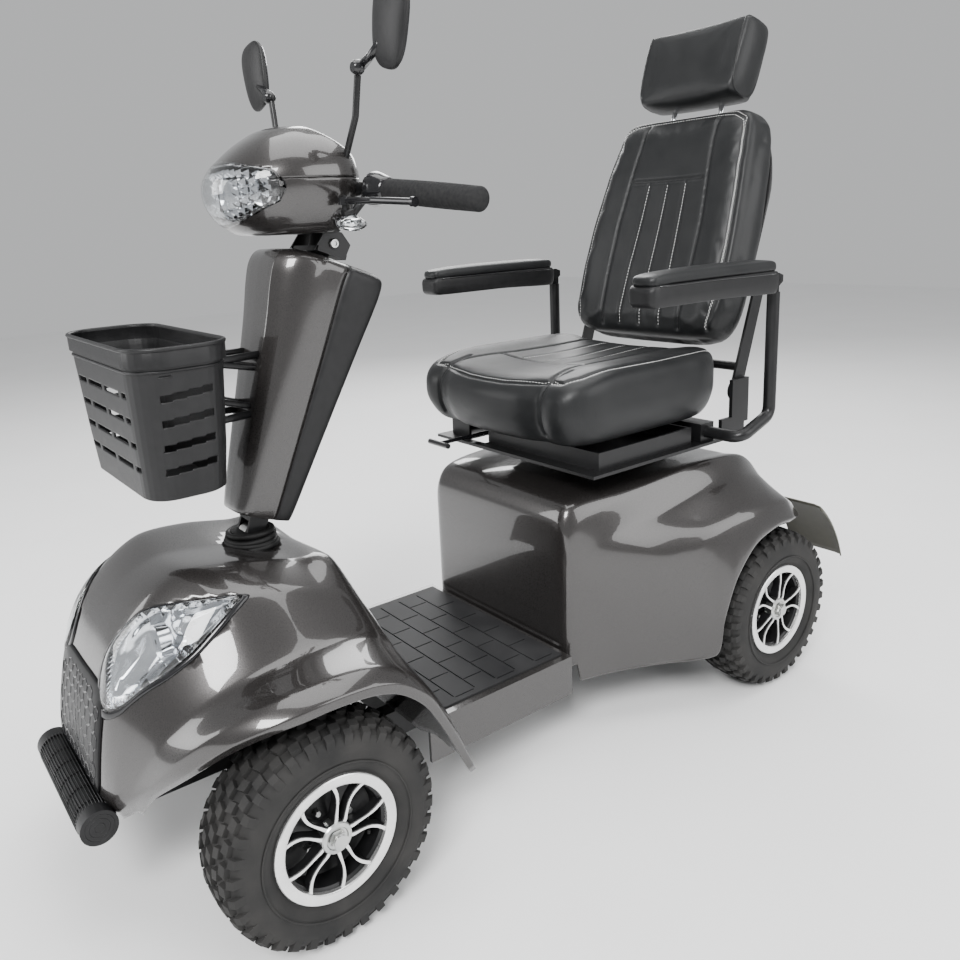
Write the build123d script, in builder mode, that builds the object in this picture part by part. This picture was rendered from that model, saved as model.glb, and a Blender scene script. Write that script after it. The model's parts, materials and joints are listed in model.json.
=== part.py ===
from build123d import *

import os
from math import cos, radians, sin

# Mobility scooter: four wheels, tiller steering, swivel captain seat.
# Frame: +X to the driver's left, +Y rearwards, +Z up, ground at Z = 0, millimetres.
# Points are given as (x, distance behind the front axle, z).

os.makedirs("parts", exist_ok=True)

# --- overall layout ---------------------------------------------------------
FRONT_AXLE_Y = -490.5
WHEELBASE = 1037.0
WHEEL_R = 165.0
WHEEL_X = 294.0
KINGPIN_X = 205.0
STEER_D = 62.0
SEAT_D = 820.0
SIDES = ((1, "left"), (-1, "right"))

# --- running gear -----------------------------------------------------------
KINGPIN_R = 10.0
STUB_R = 10.0
STEER_SHAFT_R = 16.0
RUN_GAP = 0.05
STEER_ARM = 75.0
PITMAN_ARM = 60.0
RAIL_X = 95.0
RAIL_LOW, RAIL_HIGH = 100.0, 150.0

# --- body panels ------------------------------------------------------------
SKIN = 4.0
FLOOR_Z = 184.0
WELL_R = 232.0
ARCH_R = 190.0
GUARD_R = 233.0

# --- tiller -----------------------------------------------------------------
TILT_Z = 500.0
TILLER_LEAN = 21.0
COLUMN_R = 18.0
BAR_R = 11.0
HEAD_D = 190.0
SEAM_Z = 1045.0

# --- seat -------------------------------------------------------------------
POST_R = 25.0
BACK_LEAN = 19.0
BACK_PIVOT = (1035.0, 610.0)
BACK_ROOT = (1005.0, 650.0)
ARM_X = 303.0
ARM_PIVOT = (1033.0, 836.0)
ARM_TUBE_R = 12.0


def aft(distance):
    """Y of a point the given distance behind the front axle."""
    return FRONT_AXLE_Y + distance


def block(x0, x1, d0, d1, z0, z1, mode=Mode.ADD):
    """Square block between the given limits."""
    with Locations(((x0 + x1) / 2, aft((d0 + d1) / 2), (z0 + z1) / 2)):
        Box(abs(x1 - x0), abs(d1 - d0), abs(z1 - z0), mode=mode)


def rod(start, end, radius, mode=Mode.ADD):
    """Round bar between two points."""
    first = Vector(start[0], aft(start[1]), start[2])
    last = Vector(end[0], aft(end[1]), end[2])
    run = last - first
    with BuildSketch(Plane(origin=first, z_dir=run.normalized())) as section:
        Circle(radius)
    extrude(section.sketch, amount=run.length, mode=mode)


def bent_rod(points, bend, radius):
    """Round bar along a line of points with rounded bends."""
    placed = [(x, aft(d), z) for x, d, z in points]
    with BuildLine() as path:
        FilletPolyline(*placed, radius=bend)
    with BuildSketch(Plane(origin=path.line @ 0, z_dir=path.line % 0)) as section:
        Circle(radius)
    sweep(section.sketch, path=path.line)


def both_halves(half):
    """Closed outline from the points of its left half."""
    return half + [(-x, v) for x, v in reversed(half) if x > 0]


def common_solid(side, plan, front, inset=0.0):
    """Solid common to a side (d, z), a plan (x, d) and a front (x, z) outline."""
    reach = 2000.0
    outlines = (
        (Plane.YZ, [(aft(d), z) for d, z in side]),
        (Plane.XY, [(x, aft(d)) for x, d in both_halves(plan)]),
        (Plane.XZ, both_halves(front)),
    )
    with BuildPart() as solid:
        for plane, points in outlines:
            with BuildSketch(plane) as outline:
                Polygon(*points, align=None)
                if inset:
                    offset(amount=-inset, kind=Kind.INTERSECTION)
            first = plane is outlines[0][0]
            extrude(
                outline.sketch,
                amount=reach,
                both=True,
                mode=Mode.ADD if first else Mode.INTERSECT,
            )
    return solid.part


def prism_along_y(points, d0, d1):
    """Prism through a front-view outline (x, z) between two distances."""
    with BuildPart() as prism:
        with BuildSketch(Plane.XZ.offset(-aft(d0))):
            Polygon(*points, align=None)
        extrude(amount=d0 - d1)
    return prism.part


def ring_sector(radius, wall, centre_d, centre_z, start, stop, x0, x1):
    """Curved plate about an axis across the scooter, angles up from rearwards."""
    reach = 3 * radius
    mid = (start + stop) / 2
    rays = [
        (
            aft(centre_d) + reach * cos(radians(angle)),
            centre_z + reach * sin(radians(angle)),
        )
        for angle in (start, mid, stop)
    ]
    with BuildPart() as plate:
        with BuildSketch(Plane.YZ.offset(min(x0, x1))):
            with Locations((aft(centre_d), centre_z)):
                Circle(radius)
                Circle(radius - wall, mode=Mode.SUBTRACT)
            Polygon((aft(centre_d), centre_z), *rays, align=None, mode=Mode.INTERSECT)
        extrude(amount=abs(x1 - x0))
    return plate.part


# --- shared outlines of the two body panels ---------------------------------
NOSE_SIDE = [
    (-212, 150), (-225, 206), (-246, 228), (-222, 345), (-205, 415), (-150, 478), (-97, 504),
    (60, 492), (135, 477), (175, 400), (200, 345), (225, 260), (238, 150),
]
NOSE_PLAN = [(0, -246), (118, -246), (150, -228), (250, -168), (350, -100), (352, 238), (0, 238)]
NOSE_FRONT = [
    (0, 150), (352, 150), (352, 350), (335, 388), (245, 410), (215, 440), (180, 485),
    (130, 508), (0, 512),
]
TAIL_SIDE = [
    (566, 112), (566, 430), (585, 462), (700, 478), (1019, 482), (1102, 431), (1177, 358),
    (1200, 290), (1200, 112),
]
TAIL_PLAN = [
    (0, 566), (196, 566), (214, 585), (224, 600), (262, 700), (325, 800), (350, 870),
    (350, 1100), (240, 1190), (215, 1200), (0, 1200),
]
TAIL_FRONT = [(0, 112), (352, 112), (352, 330), (330, 400), (290, 440), (200, 488), (0, 492)]
LAMP_OUTLINE = [
    (105, 375), (100, 410), (112, 440), (140, 462), (172, 474), (178, 468), (176, 440),
    (163, 405), (140, 374), (118, 364),
]
GRILLE_HALF = [(0, 215), (60, 215), (95, 300), (80, 338), (0, 338)]

TILLER = Plane(
    origin=(0, aft(STEER_D), TILT_Z),
    x_dir=(1, 0, 0),
    z_dir=(0, sin(radians(TILLER_LEAN)), cos(radians(TILLER_LEAN))),
)
BACK = Plane(
    origin=(0, aft(BACK_ROOT[0]), BACK_ROOT[1]),
    x_dir=(1, 0, 0),
    z_dir=(0, sin(radians(BACK_LEAN)), cos(radians(BACK_LEAN))),
)


def along(plane, x, y, z):
    """World point of local coordinates, as (x, distance, z)."""
    point = plane.from_local_coords((x, y, z))
    return (point.X, point.Y - FRONT_AXLE_Y, point.Z)


# --- main frame, one weldment ----------------------------------------------
with BuildPart() as main_frame:
    block(-176, 176, -22, 22, 143, 187)
    for side, _ in SIDES:
        block(side * 176, side * 183, -18, 12, 116, 214)
        block(side * 176, side * 222, -18, 18, 202, 212)
        block(side * 176, side * 222, -18, 18, 118, 128)
        rod((side * KINGPIN_X, 0, 116), (side * KINGPIN_X, 0, 216), KINGPIN_R)
        block(side * 80, side * 110, -20, 980, RAIL_LOW, RAIL_HIGH)
        block(side * 63, side * 87, -240, -20, 163, 187)
    block(-110, 110, 34, 90, 150, 172)
    for d in (250, 540, 620, 960):
        block(-100, 100, d, d + 20, 105, 145)
    block(-100, 100, 795, 845, 105, 150)
    rod((0, STEER_D, 150), (0, STEER_D, 440), 24)
    rod((0, STEER_D, 145), (0, STEER_D, 445), STEER_SHAFT_R + RUN_GAP, mode=Mode.SUBTRACT)
    for side, _ in SIDES:
        block(side * 23.5, side * 29.5, 34, 90, 172, 330)
    rod((0, SEAT_D, 150), (0, SEAT_D, 300), 32)
    rod((0, SEAT_D, 158), (0, SEAT_D, 301), POST_R + RUN_GAP, mode=Mode.SUBTRACT)
    for side, _ in SIDES:
        rod((side * RAIL_X, 360, 99), (side * RAIL_X, 360, 151), 8, mode=Mode.SUBTRACT)
        rod((side * RAIL_X, 900, 99), (side * RAIL_X, 900, 151), 8, mode=Mode.SUBTRACT)
main_frame.part.label = "main_frame"
export_step(main_frame.part, "parts/main_frame.step")

# --- front knuckles, each with its stub axle and nut --------------------------
for side, name in SIDES:
    with BuildPart() as knuckle:
        rod((side * KINGPIN_X, 0, 130), (side * KINGPIN_X, 0, 200), 18)
        rod((side * KINGPIN_X, 0, 165), (side * 262, 0, 165), 14)
        rod((side * 262, 0, 165), (side * 352, 0, 165), STUB_R)
        with BuildSketch(Plane.YZ.offset(min(side * 341, side * 350))) as hexagon:
            with Locations((aft(0), WHEEL_R)):
                RegularPolygon(13, 6)
        extrude(hexagon.sketch, amount=9)
        block(side * 197, side * 213, 14, STEER_ARM, 132, 146)
        rod((side * KINGPIN_X, STEER_ARM, 100), (side * KINGPIN_X, STEER_ARM, 146), 10)
        rod(
            (side * KINGPIN_X, 0, 128),
            (side * KINGPIN_X, 0, 202),
            KINGPIN_R + RUN_GAP,
            mode=Mode.SUBTRACT,
        )
    knuckle.part.label = f"knuckle_{name}"
    export_step(knuckle.part, f"parts/knuckle_{name}.step")

# --- tie rod ------------------------------------------------------------------
with BuildPart() as tie_rod:
    rod((-KINGPIN_X, STEER_ARM, 90), (KINGPIN_X, STEER_ARM, 90), 7)
    for side, _ in SIDES:
        rod((side * KINGPIN_X, STEER_ARM, 83), (side * KINGPIN_X, STEER_ARM, 98), 11)
    block(-16, 16, STEER_ARM, 136, 86, 94)
    block(-7, 7, 107, 129, 85, 95, mode=Mode.SUBTRACT)
tie_rod.part.label = "tie_rod"
export_step(tie_rod.part, "parts/tie_rod.step")

# --- steering shaft with pitman arm and tilt pin --------------------------------
with BuildPart() as steering_shaft:
    rod((0, STEER_D, 120), (0, STEER_D, 470), STEER_SHAFT_R)
    block(-12, 12, STEER_D, STEER_D + PITMAN_ARM, 122, 134)
    rod((0, STEER_D + PITMAN_ARM, 84), (0, STEER_D + PITMAN_ARM, 134), 5)
    rod((0, STEER_D + PITMAN_ARM, 122), (0, STEER_D + PITMAN_ARM, 134), 12)
    block(-12, 12, STEER_D - 11, STEER_D + 11, 468, 500)
    rod((-12, STEER_D, TILT_Z), (12, STEER_D, TILT_Z), 16)
    rod((-26, STEER_D, TILT_Z), (26, STEER_D, TILT_Z), 8)
steering_shaft.part.label = "steering_shaft"
export_step(steering_shaft.part, "parts/steering_shaft.step")

# --- wheels ---------------------------------------------------------------------
TYRE_HALF = [
    (0, 165), (30, 163), (50, 156), (57, 140), (58, 122), (54, 106), (44, 95), (44, 86),
    (36, 86), (44, 104), (49, 122), (48, 138), (42, 148), (0, 154),
]
RIM_SECTION = [
    (-50, 94), (-45, 94), (-45, 85.5), (45, 85.5), (45, 94), (50, 94), (50, 82),
    (40, 77), (-40, 77), (-50, 82),
]
SPOKES = 10
HUB_R = 22.0

for end, axle_d, bore in (("front", 0.0, STUB_R + RUN_GAP), ("rear", WHEELBASE, STUB_R)):
    for side, name in SIDES:
        centre_x = side * WHEEL_X
        spin = Axis((0, aft(axle_d), WHEEL_R), (1, 0, 0))
        outer = [(u, r) for u, r in TYRE_HALF if r >= 86 and (u, r) not in TYRE_HALF[8:]]
        inner = TYRE_HALF[8:]
        section = (
            outer
            + inner
            + [(-u, r) for u, r in reversed(inner) if u]
            + [(-u, r) for u, r in reversed(outer) if u]
        )
        with BuildPart() as tyre:
            with BuildSketch(Plane.XY.offset(WHEEL_R)):
                Polygon(*[(centre_x + u, aft(axle_d) + r) for u, r in section], align=None)
            revolve(axis=spin)
        tyre.part.label = f"tyre_{end}_{name}"
        export_step(tyre.part, f"parts/tyre_{end}_{name}.step")

        with BuildPart() as rim:
            with BuildSketch(Plane.XY.offset(WHEEL_R)):
                Polygon(*[(centre_x + u, aft(axle_d) + r) for u, r in RIM_SECTION], align=None)
            revolve(axis=spin)
            rod((centre_x - side * 28, axle_d, 165), (centre_x + side * 46, axle_d, 165), HUB_R)
            spoke_plane = Plane.YZ.offset(centre_x + side * 41)
            with BuildSketch(spoke_plane) as spokes:
                with Locations((aft(axle_d), WHEEL_R)):
                    with PolarLocations(50, SPOKES):
                        Rectangle(64, 9)
            extrude(spokes.sketch, amount=3, both=True)
            rod(
                (centre_x - side * 29, axle_d, 165),
                (centre_x + side * 47, axle_d, 165),
                bore,
                mode=Mode.SUBTRACT,
            )
        rim.part.label = f"rim_{end}_{name}"
        export_step(rim.part, f"parts/rim_{end}_{name}.step")

# --- transaxle with motor, and the two half shafts ------------------------------
with BuildPart() as transaxle:
    block(-60, 60, 984, 1092, 105, 240)
    fillet(transaxle.edges().filter_by(Axis.Z), 14)
    for side, _ in SIDES:
        rod((side * 58, WHEELBASE, 165), (side * 225, WHEELBASE, 165), 26)
    rod((58, 1030, 252), (205, 1030, 252), 42)
    rod((30, 1030, 252), (60, 1030, 252), 34)
    for side, _ in SIDES:
        rod(
            (side * 148, WHEELBASE, 165),
            (side * 226, WHEELBASE, 165),
            STUB_R + RUN_GAP,
            mode=Mode.SUBTRACT,
        )
transaxle.part.label = "transaxle"
export_step(transaxle.part, "parts/transaxle.step")

for side, name in SIDES:
    with BuildPart() as half_shaft:
        rod((side * 150, WHEELBASE, 165), (side * 352, WHEELBASE, 165), STUB_R)
        with BuildSketch(Plane.YZ.offset(min(side * 341, side * 350))) as hexagon:
            with Locations((aft(WHEELBASE), WHEEL_R)):
                RegularPolygon(13, 6)
        extrude(hexagon.sketch, amount=9)
    half_shaft.part.label = f"half_shaft_{name}"
    export_step(half_shaft.part, f"parts/half_shaft_{name}.step")

# --- batteries -----------------------------------------------------
with BuildPart() as batteries:
    for side, _ in SIDES:
        block(side * 8, side * 176, 606, 776, 190, 392)
    fillet(batteries.edges().filter_by(Axis.Z), 6)
batteries.part.label = "batteries"
export_step(batteries.part, "parts/batteries.step")

# --- floor pan and mat ---------------------------------------------------------------
with BuildPart() as floor_pan:
    block(-222, 222, 240, 562, 108, FLOOR_Z)
    block(-216, 216, 239, 563, 100, 170, mode=Mode.SUBTRACT)
    block(-207, 207, 252, 552, 178, 190, mode=Mode.SUBTRACT)
floor_pan.part.label = "floor_pan"
export_step(floor_pan.part, "parts/floor_pan.step")

MAT_PITCH = 46.0
with BuildPart() as floor_mat:
    block(-206, 206, 253, 551, 178, 187)
    for row in range(6):
        depth = 265 + row * MAT_PITCH
        block(-190, 190, depth, depth + 3, 184.5, 188, mode=Mode.SUBTRACT)
        for column in range(5):
            across = -150 + column * 76 + (row % 2) * 38
            block(across, across + 3, depth + 3, depth + MAT_PITCH - 3, 184.5, 188, mode=Mode.SUBTRACT)
floor_mat.part.label = "floor_mat"
export_step(floor_mat.part, "parts/floor_mat.step")

# --- front shroud with both fenders -----------------------------------------------
nose_outer = common_solid(NOSE_SIDE, NOSE_PLAN, NOSE_FRONT)
nose_inner = common_solid(NOSE_SIDE, NOSE_PLAN, NOSE_FRONT, SKIN)
lamp_prisms = [
    prism_along_y([(side * x, z) for x, z in LAMP_OUTLINE], -235, 0) for side, _ in SIDES
]
grille_prism = prism_along_y(both_halves(GRILLE_HALF), -260, -180)

with BuildPart() as front_shroud:
    add(nose_outer)
    add(nose_inner, mode=Mode.SUBTRACT)
    block(-346, 346, -250, 233, 140, 156, mode=Mode.SUBTRACT)
    for side, _ in SIDES:
        rod((side * 128, 10, 150), (side * 360, 10, 150), WELL_R, mode=Mode.SUBTRACT)
    for prism in lamp_prisms:
        add(prism, mode=Mode.SUBTRACT)
    add(grille_prism, mode=Mode.SUBTRACT)
    rod((0, STEER_D, 460), (0, STEER_D, 520), 58, mode=Mode.SUBTRACT)
    for side, _ in SIDES:
        block(side * 60, side * 90, -250, -205, 150, 190, mode=Mode.SUBTRACT)
    block(-222, 222, 226, 240, 150, 186, mode=Mode.SUBTRACT)
front_shroud.part.label = "front_shroud"
export_step(front_shroud.part, "parts/front_shroud.step")

with BuildPart() as front_grille:
    add(nose_outer)
    add(nose_inner, mode=Mode.SUBTRACT)
    add(
        prism_along_y([(0.97 * x, 8 + 0.97 * z) for x, z in both_halves(GRILLE_HALF)], -260, -180),
        mode=Mode.INTERSECT,
    )
front_grille.part.label = "front_grille"
export_step(front_grille.part, "parts/front_grille.step")

# --- headlights: clear lens over a reflector bowl ------------------------------------
lamp_inner = common_solid(NOSE_SIDE, NOSE_PLAN, NOSE_FRONT, SKIN + 0.5)
lamp_back = common_solid(NOSE_SIDE, NOSE_PLAN, NOSE_FRONT, SKIN + 22)
lamp_fronts = []
lamp_bowls = []
for side, _ in SIDES:
    outline = [(side * (140 + 0.98 * (x - 140)), 418 + 0.98 * (z - 418)) for x, z in LAMP_OUTLINE]
    lamp_fronts.append(prism_along_y(outline, -235, 0))
    lamp_bowls.append(prism_along_y(outline, -235, -20))

with BuildPart() as headlight_lenses:
    add(nose_outer)
    add(nose_inner, mode=Mode.SUBTRACT)
    add(lamp_fronts, mode=Mode.INTERSECT)
headlight_lenses.part.label = "headlight_lenses"
export_step(headlight_lenses.part, "parts/headlight_lenses.step")

with BuildPart() as headlight_reflectors:
    add(lamp_inner)
    add(lamp_back, mode=Mode.SUBTRACT)
    add(lamp_bowls, mode=Mode.INTERSECT)
headlight_reflectors.part.label = "headlight_reflectors"
export_step(headlight_reflectors.part, "parts/headlight_reflectors.step")

# --- bumper bar ------------------------------------------------------------------------
BUMPER_R = 26.0
with BuildPart() as bumper_bar:
    rod((-133, -255, 187), (133, -255, 187), BUMPER_R - 3)
    for side, _ in SIDES:
        rod((side * 108, -255, 187), (side * 133, -255, 187), BUMPER_R)
    for x in (-80, -40, 0, 40, 80):
        rod((x - 16, -255, 187), (x + 16, -255, 187), BUMPER_R - 1.5)
    for side, _ in SIDES:
        block(side * 62.9, side * 87.1, -240.1, -200, 162.9, 187.1, mode=Mode.SUBTRACT)
bumper_bar.part.label = "bumper_bar"
export_step(bumper_bar.part, "parts/bumper_bar.step")

# --- rear cover ---------------------------------------------------------------------------
with BuildPart() as rear_cover:
    add(common_solid(TAIL_SIDE, TAIL_PLAN, TAIL_FRONT))
    add(common_solid(TAIL_SIDE, TAIL_PLAN, TAIL_FRONT, SKIN), mode=Mode.SUBTRACT)
    block(-360, 360, 560, 1210, 100, 118, mode=Mode.SUBTRACT)
    block(-215, 215, 560, 1210, 100, 188, mode=Mode.SUBTRACT)
    for side, _ in SIDES:
        rod((side * 219, WHEELBASE, 165), (side * 360, WHEELBASE, 165), ARCH_R, mode=Mode.SUBTRACT)
        block(side * 222, side * 360, 1100, 1210, 100, 330, mode=Mode.SUBTRACT)
        block(side * 215.5, side * 219, 880, 1190, 200, 350)
        with BuildSketch(Plane.YZ.offset(-360 if side < 0 else 219)) as guard_room:
            with Locations((aft(WHEELBASE), WHEEL_R)):
                Circle(GUARD_R + 4)
            with Locations((aft(1100), WHEEL_R)):
                Rectangle(200, 300, align=(Align.MIN, Align.MIN), mode=Mode.INTERSECT)
        extrude(guard_room.sketch, amount=141, mode=Mode.SUBTRACT)
    rod((0, SEAT_D, 450), (0, SEAT_D, 500), 52, mode=Mode.SUBTRACT)
    rod((100, 967, 450), (100, 967, 500), 9, mode=Mode.SUBTRACT)
    rod((120, 560, 300), (120, 580, 300), 13, mode=Mode.SUBTRACT)
rear_cover.part.label = "rear_cover"
export_step(rear_cover.part, "parts/rear_cover.step")

with BuildPart() as rear_mudguards:
    for side, _ in SIDES:
        add(ring_sector(GUARD_R, SKIN, WHEELBASE, WHEEL_R, 15, 56, side * 226, side * 350))
rear_mudguards.part.label = "rear_mudguards"
export_step(rear_mudguards.part, "parts/rear_mudguards.step")

with BuildPart() as freewheel_lever:
    rod((100, 967, 430), (100, 967, 488), 7)
    rod((100, 967, 486), (100, 967, 491), 15)
    rod((72, 967, 491), (128, 967, 491), 4.5)
freewheel_lever.part.label = "freewheel_lever"
export_step(freewheel_lever.part, "parts/freewheel_lever.step")

# --- tiller column ---------------------------------------------------------------------
with BuildPart() as tiller_column:
    rod(along(TILLER, 0, 0, 30), along(TILLER, 0, 0, 508), COLUMN_R)
    with BuildSketch(TILLER.offset(22)) as yoke_base:
        Rectangle(40, 32)
    extrude(yoke_base.sketch, amount=12)
    for x in (-17, 17):
        with BuildSketch(TILLER.offset(0)) as ear:
            with Locations((x, 0)):
                Rectangle(5.4, 30)
        extrude(ear.sketch, amount=24)
        rod((x - 2.7, STEER_D, TILT_Z), (x + 2.7, STEER_D, TILT_Z), 15)
    rod((-30, STEER_D, TILT_Z), (30, STEER_D, TILT_Z), 8 + RUN_GAP, mode=Mode.SUBTRACT)
    for height in (205, 270):
        for side, _ in SIDES:
            rod(along(TILLER, side * 6, -8, height), (side * 45, 7, 560 + 0.85 * height), 5)
    block(-75, 75, 4, 9, 715, 810)
    with BuildSketch(TILLER.offset(462)) as clamp:
        Rectangle(96, 52)
    extrude(clamp.sketch, amount=8)
tiller_column.part.label = "tiller_column"
export_step(tiller_column.part, "parts/tiller_column.step")


def cover_loft(inset):
    """Tapered tiller cover, narrow at the foot and wide under the head."""
    with BuildPart() as loft_body:
        for height, width, depth, corner in ((36, 102, 104, 26), (452, 162, 186, 40)):
            with BuildSketch(TILLER.offset(height)):
                RectangleRounded(width - 2 * inset, depth - 2 * inset, corner - inset)
        loft()
    return loft_body.part


SPLIT_DEPTH = 24.0
for name, keep, gap in (("front", Keep.BOTTOM, -0.25), ("rear", Keep.TOP, 0.25)):
    depth = SPLIT_DEPTH + gap
    parting = Plane(
        origin=TILLER.from_local_coords((0, depth, 0)),
        x_dir=(1, 0, 0),
        z_dir=TILLER.y_dir,
    )
    with BuildPart() as cover:
        add(cover_loft(0))
        add(cover_loft(SKIN), mode=Mode.SUBTRACT)
        split(bisect_by=parting, keep=keep)
        if name == "front":
            for height in (205, 270):
                for side, _ in SIDES:
                    rod(
                        along(TILLER, side * 6, -8, height),
                        (side * 45, 7, 560 + 0.85 * height),
                        6.5,
                        mode=Mode.SUBTRACT,
                    )
    cover.part.label = f"tiller_cover_{name}"
    export_step(cover.part, f"parts/tiller_cover_{name}.step")

# --- bellows over the tilt joint --------------------------------------------------
with BuildPart() as tiller_boot:
    folds = [(50, 450), (50, 456), (42, 462), (49, 469), (41, 476), (47, 483), (39, 490)]
    folds += [(45, 497), (38, 503), (41, 510)]
    wall = [(r - 3, z) for r, z in reversed(folds)]
    with BuildSketch(Plane.XZ.offset(-aft(STEER_D))):
        Polygon(*folds, *wall, align=None)
    revolve(axis=Axis((0, aft(STEER_D), 0), (0, 0, 1)))
tiller_boot.part.label = "tiller_boot"
export_step(tiller_boot.part, "parts/tiller_boot.step")

# --- basket -----------------------------------------------------------------------
def basket_loft(inset, low, high):
    """Tapered tub with rounded corners."""
    with BuildPart() as tub:
        with BuildSketch(Plane.XY.offset(low)):
            with Locations((0, aft(-67))):
                RectangleRounded(292 - 2 * inset, 118 - 2 * inset, 40 - inset)
        with BuildSketch(Plane.XY.offset(high)):
            with Locations((0, aft(-68))):
                RectangleRounded(356 - 2 * inset, 138 - 2 * inset, 48 - inset)
        loft()
    return tub.part


with BuildPart() as basket:
    add(basket_loft(0, 625, 835))
    with BuildSketch(Plane.XY.offset(812)) as rim_band:
        with Locations((0, aft(-68))):
            RectangleRounded(358, 140, 49)
    extrude(rim_band.sketch, amount=23)
    add(basket_loft(3.5, 629, 836), mode=Mode.SUBTRACT)
basket.part.label = "basket"
export_step(basket.part, "parts/basket.step")

# --- tiller head -------------------------------------------------------------------
DASH = Plane(origin=(0, aft(232), 1096), x_dir=(1, 0, 0), z_dir=(0, 0.5708, 0.8211))
LOW_RINGS = ((962, 70, 85), (1000, 98, 100), (SEAM_Z - 0.2, 112, 108))
HIGH_RINGS = ((SEAM_Z + 0.2, 112, 108), (1090, 86, 86), (1126, 44, 48))


def head_loft(rings, inset):
    """Half of the head shell from elliptical rings (z, half width, half depth)."""
    with BuildPart() as shell:
        for z, half_width, half_depth in rings:
            with BuildSketch(Plane.XY.offset(z)):
                with Locations((0, aft(HEAD_D))):
                    Ellipse(half_width - inset, half_depth - inset)
        loft()
    return shell.part


BAR_POINTS = [(-335, 305, 1000), (-112, 262, 1028), (112, 262, 1028), (335, 305, 1000)]


def lamp_window(inset, reach):
    """Front window block of the head lamp."""
    with BuildPart() as window:
        with BuildSketch(Plane.XY.offset(988 + inset)):
            with Locations((0, aft(HEAD_D))):
                Ellipse(reach, reach - 4)
            with Locations((0, aft(116 - inset))):
                Rectangle(158 - 2 * inset, 90, align=(Align.CENTER, Align.MAX), mode=Mode.INTERSECT)
        extrude(amount=80 - 2 * inset)
    return window.part


with BuildPart() as head_shell_lower:
    add(head_loft(LOW_RINGS, 0))
    add(head_loft(((965.5, 70, 85), *LOW_RINGS[1:2], (SEAM_Z + 0.5, 112, 108)), 3.5), mode=Mode.SUBTRACT)
    add(lamp_window(0, 140), mode=Mode.SUBTRACT)
    rod(along(TILLER, 0, 0, 470), along(TILLER, 0, 0, 540), COLUMN_R + 2, mode=Mode.SUBTRACT)
    for side, _ in SIDES:
        rod((side * 60, 262, 1028), (side * 128, 265, 1026), BAR_R + 4, mode=Mode.SUBTRACT)
head_shell_lower.part.label = "head_shell_lower"
export_step(head_shell_lower.part, "parts/head_shell_lower.step")

with BuildPart() as head_shell_upper:
    add(head_loft(HIGH_RINGS, 0))
    add(head_loft(((SEAM_Z - 0.5, 112, 108), (1088, 86, 86), (1121, 44, 48)), 3.5), mode=Mode.SUBTRACT)
    add(lamp_window(0, 140), mode=Mode.SUBTRACT)
    split(bisect_by=DASH, keep=Keep.BOTTOM)
    for side, _ in SIDES:
        rod((side * 60, 262, 1028), (side * 128, 265, 1026), BAR_R + 4, mode=Mode.SUBTRACT)
        rod((side * 78, 239, 1050), (side * 130, 240, 1127), 6, mode=Mode.SUBTRACT)
head_shell_upper.part.label = "head_shell_upper"
export_step(head_shell_upper.part, "parts/head_shell_upper.step")

with BuildPart() as headlamp:
    add(lamp_window(1, 106))
    block(-70, 70, 92, 120, 995, 1060, mode=Mode.SUBTRACT)
headlamp.part.label = "headlamp_lens"
export_step(headlamp.part, "parts/headlamp_lens.step")

with BuildPart() as dash_panel:
    with BuildSketch(DASH.offset(-6)):
        RectangleRounded(96, 62, 10)
    extrude(amount=5)
    rod(along(DASH, 0, 0, -8), along(DASH, 0, 0, 1), 4 + RUN_GAP, mode=Mode.SUBTRACT)
    rod(along(DASH, -32, 0, -8), along(DASH, -32, 0, 1), 4 + RUN_GAP, mode=Mode.SUBTRACT)
dash_panel.part.label = "dash_panel"
export_step(dash_panel.part, "parts/dash_panel.step")

with BuildPart() as speed_dial:
    rod(along(DASH, 0, 0, -12), along(DASH, 0, 0, 2), 4)
    rod(along(DASH, 0, 0, 0), along(DASH, 0, 0, 12), 14)
speed_dial.part.label = "speed_dial"
export_step(speed_dial.part, "parts/speed_dial.step")

with BuildPart() as ignition_key:
    rod(along(DASH, -32, 0, -12), along(DASH, -32, 0, 4), 4)
    with BuildSketch(DASH.offset(4)) as bow:
        with Locations((-32, 0)):
            Rectangle(3, 20)
    extrude(bow.sketch, amount=24)
ignition_key.part.label = "ignition_key"
export_step(ignition_key.part, "parts/ignition_key.step")

with BuildPart() as handlebar:
    bent_rod(BAR_POINTS, 40, BAR_R)
    for side, _ in SIDES:
        rod((side * 122, 263, 1026), (side * 122, 228, 992), 6)
        rod((side * 122, 232, 995), (side * 122, 211, 993), 5)
        rod((side * 122, 215, 990), (side * 122, 215, 1019), 4)
    rod((0, 262, 1028), along(TILLER, 0, 0, 500), 8)
    rod(along(TILLER, 0, 0, 20), along(TILLER, 0, 0, 508.2), COLUMN_R + 0.05, mode=Mode.SUBTRACT)
handlebar.part.label = "handlebar"
export_step(handlebar.part, "parts/handlebar.step")

with BuildPart() as grips:
    for side, _ in SIDES:
        rod((side * 150, 269.33, 1023.23), (side * 338, 305.58, 999.62), 17)
        cone_plane = Plane(
            origin=(side * 136, aft(266.63), 1024.99),
            z_dir=Vector(side * 223, 43, -28).normalized(),
        )
        with BuildSketch(cone_plane) as cone:
            Circle(23)
        extrude(cone.sketch, amount=22, taper=14)
        rod(
            (side * 120, 263.54, 1027),
            (side * 340, 305.97, 999.37),
            BAR_R + 0.2,
            mode=Mode.SUBTRACT,
        )
grips.part.label = "grips"
export_step(grips.part, "parts/grips.step")

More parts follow.
